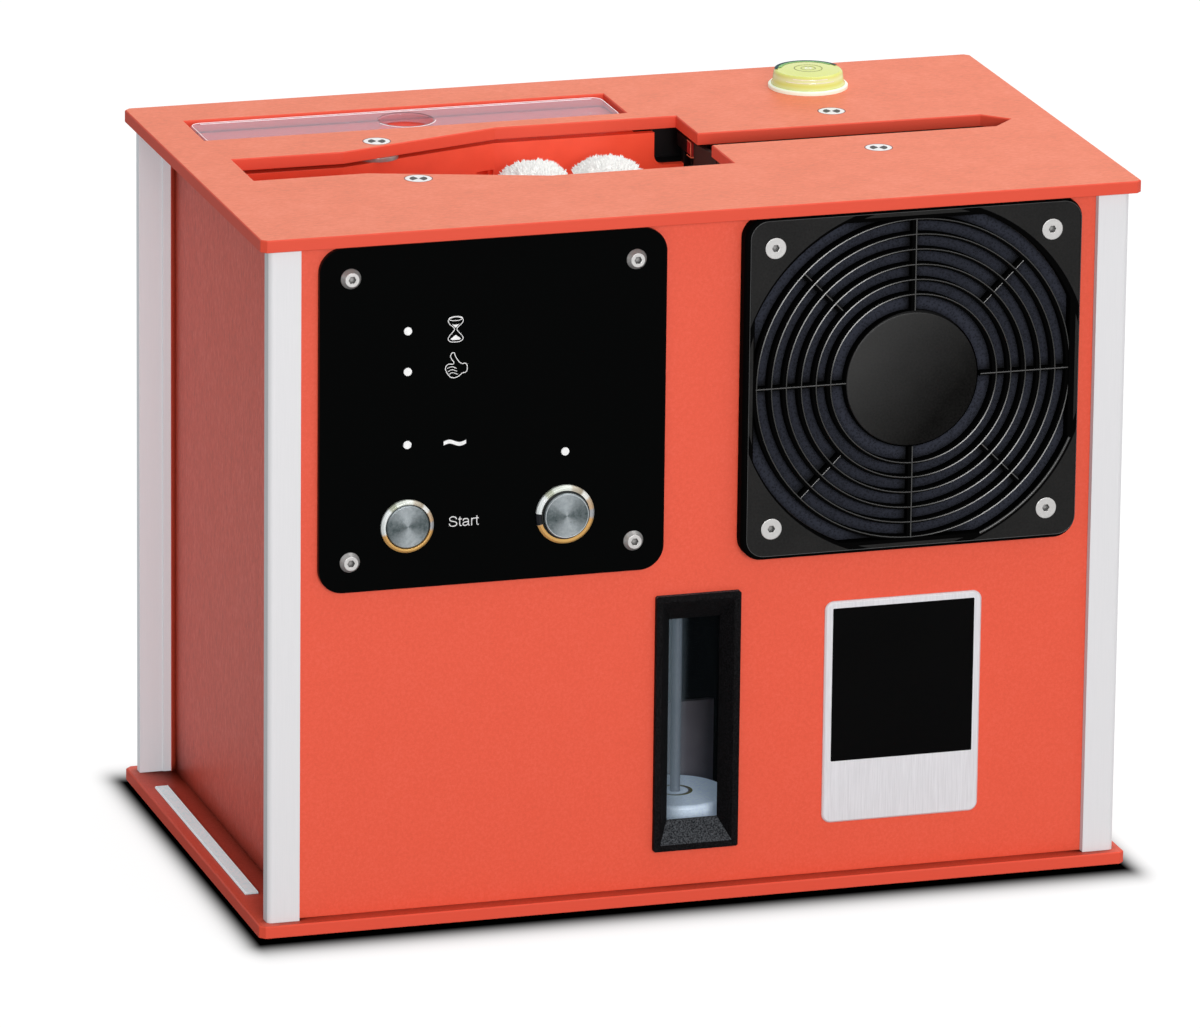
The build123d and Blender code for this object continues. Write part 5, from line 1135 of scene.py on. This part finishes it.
floor_mesh = bpy.data.meshes.new("floor")
corners = [(x * FLOOR_HALF, y * FLOOR_HALF, 0) for x, y in ((-1, -1), (1, -1), (1, 1), (-1, 1))]
floor_mesh.from_pydata(corners, [], [(0, 1, 2, 3)])
floor = bpy.data.objects.new("floor", floor_mesh)
bpy.context.scene.collection.objects.link(floor)
ground = Finish("floor_white", (0.9, 0.9, 0.9), 0.9, specular=0.0)
floor_mesh.materials.append(ground.material)
spot = ground.spot()
# painted shadow: the floor darkens near the machine's box, fading out over SHADE_REACH
fade = root_of_squares(*(largest(abs(spot[axis]) - half, 0.0) / reach
                         for axis, half, reach in zip("XY", start_hi, SHADE_REACH)))
clear_floor = 1.0 - calc("EXPONENT", (fade / 1.3) ** 1.8 * -1.0)
seen_floor = is_ray(ground.tree, "Is Camera Ray")
mirrored = is_ray(ground.tree, "Is Glossy Ray", "Is Transmission Ray")
shade = clear_floor * FLOOR_SHADE
shown = add(ground.tree, "ShaderNodeCombineColor")
for channel in ("Red", "Green", "Blue"):
    connect(shade, shown.inputs[channel])
bounced = mix(mirrored, (0.36, 0.36, 0.36), (0.66, 0.66, 0.66))
ground.set("Base Color", mix(seen_floor, bounced, shown.outputs["Color"]))
ground.glow((1, 1, 1), clear_floor * FLOOR_GLOW * seen_floor)

world = bpy.data.worlds.new("studio")
bpy.context.scene.world = world
world.use_nodes = True
sky = world.node_tree
seen = is_ray(sky, "Is Camera Ray", "Is Glossy Ray", "Is Transmission Ray")
connect(mix(seen, (0.42, 0.42, 0.42), (1, 1, 1)), sky.nodes["Background"].inputs["Color"])


def area(name, location, target, size, power):
    """A soft square lamp aimed at a point."""
    lamp = bpy.data.lights.new(name, "AREA")
    lamp.size = size
    lamp.energy = power
    o = bpy.data.objects.new(name, lamp)
    bpy.context.scene.collection.objects.link(o)
    o.location = location
    direction = Vector(target) - Vector(location)
    o.rotation_euler = direction.to_track_quat("-Z", "Y").to_euler()


area("key", (-0.1, -2.7, 0.80), (0, 0, 0.12), size=1.1, power=42)
area("over", (0.8, 0.25, 2.1), (0, 0, 0.1), size=1.8, power=28)

AZ, EL, ROLL = -0.30065435, 0.29050766, 0.01150909      # the camera's direction and tilt, in radians
DISTANCE = 3.8765
LOOK = Vector((-0.009062, -0.000357, 0.121765))
aim = (Matrix.Rotation(AZ, 3, "Z") @ Matrix.Rotation(QUARTER - EL, 3, "X")
       @ Matrix.Rotation(ROLL, 3, "Z"))
camera_data = bpy.data.cameras.new("camera")
camera_data.sensor_width = 36
camera_data.lens = 315.18
camera_data.clip_start, camera_data.clip_end = 0.1, 60
camera = bpy.data.objects.new("camera", camera_data)
bpy.context.scene.collection.objects.link(camera)
camera.rotation_euler = aim.to_euler()
camera.location = LOOK + aim @ Vector((0, 0, DISTANCE))
bpy.context.scene.camera = camera
bpy.context.scene.view_settings.view_transform = "Standard"
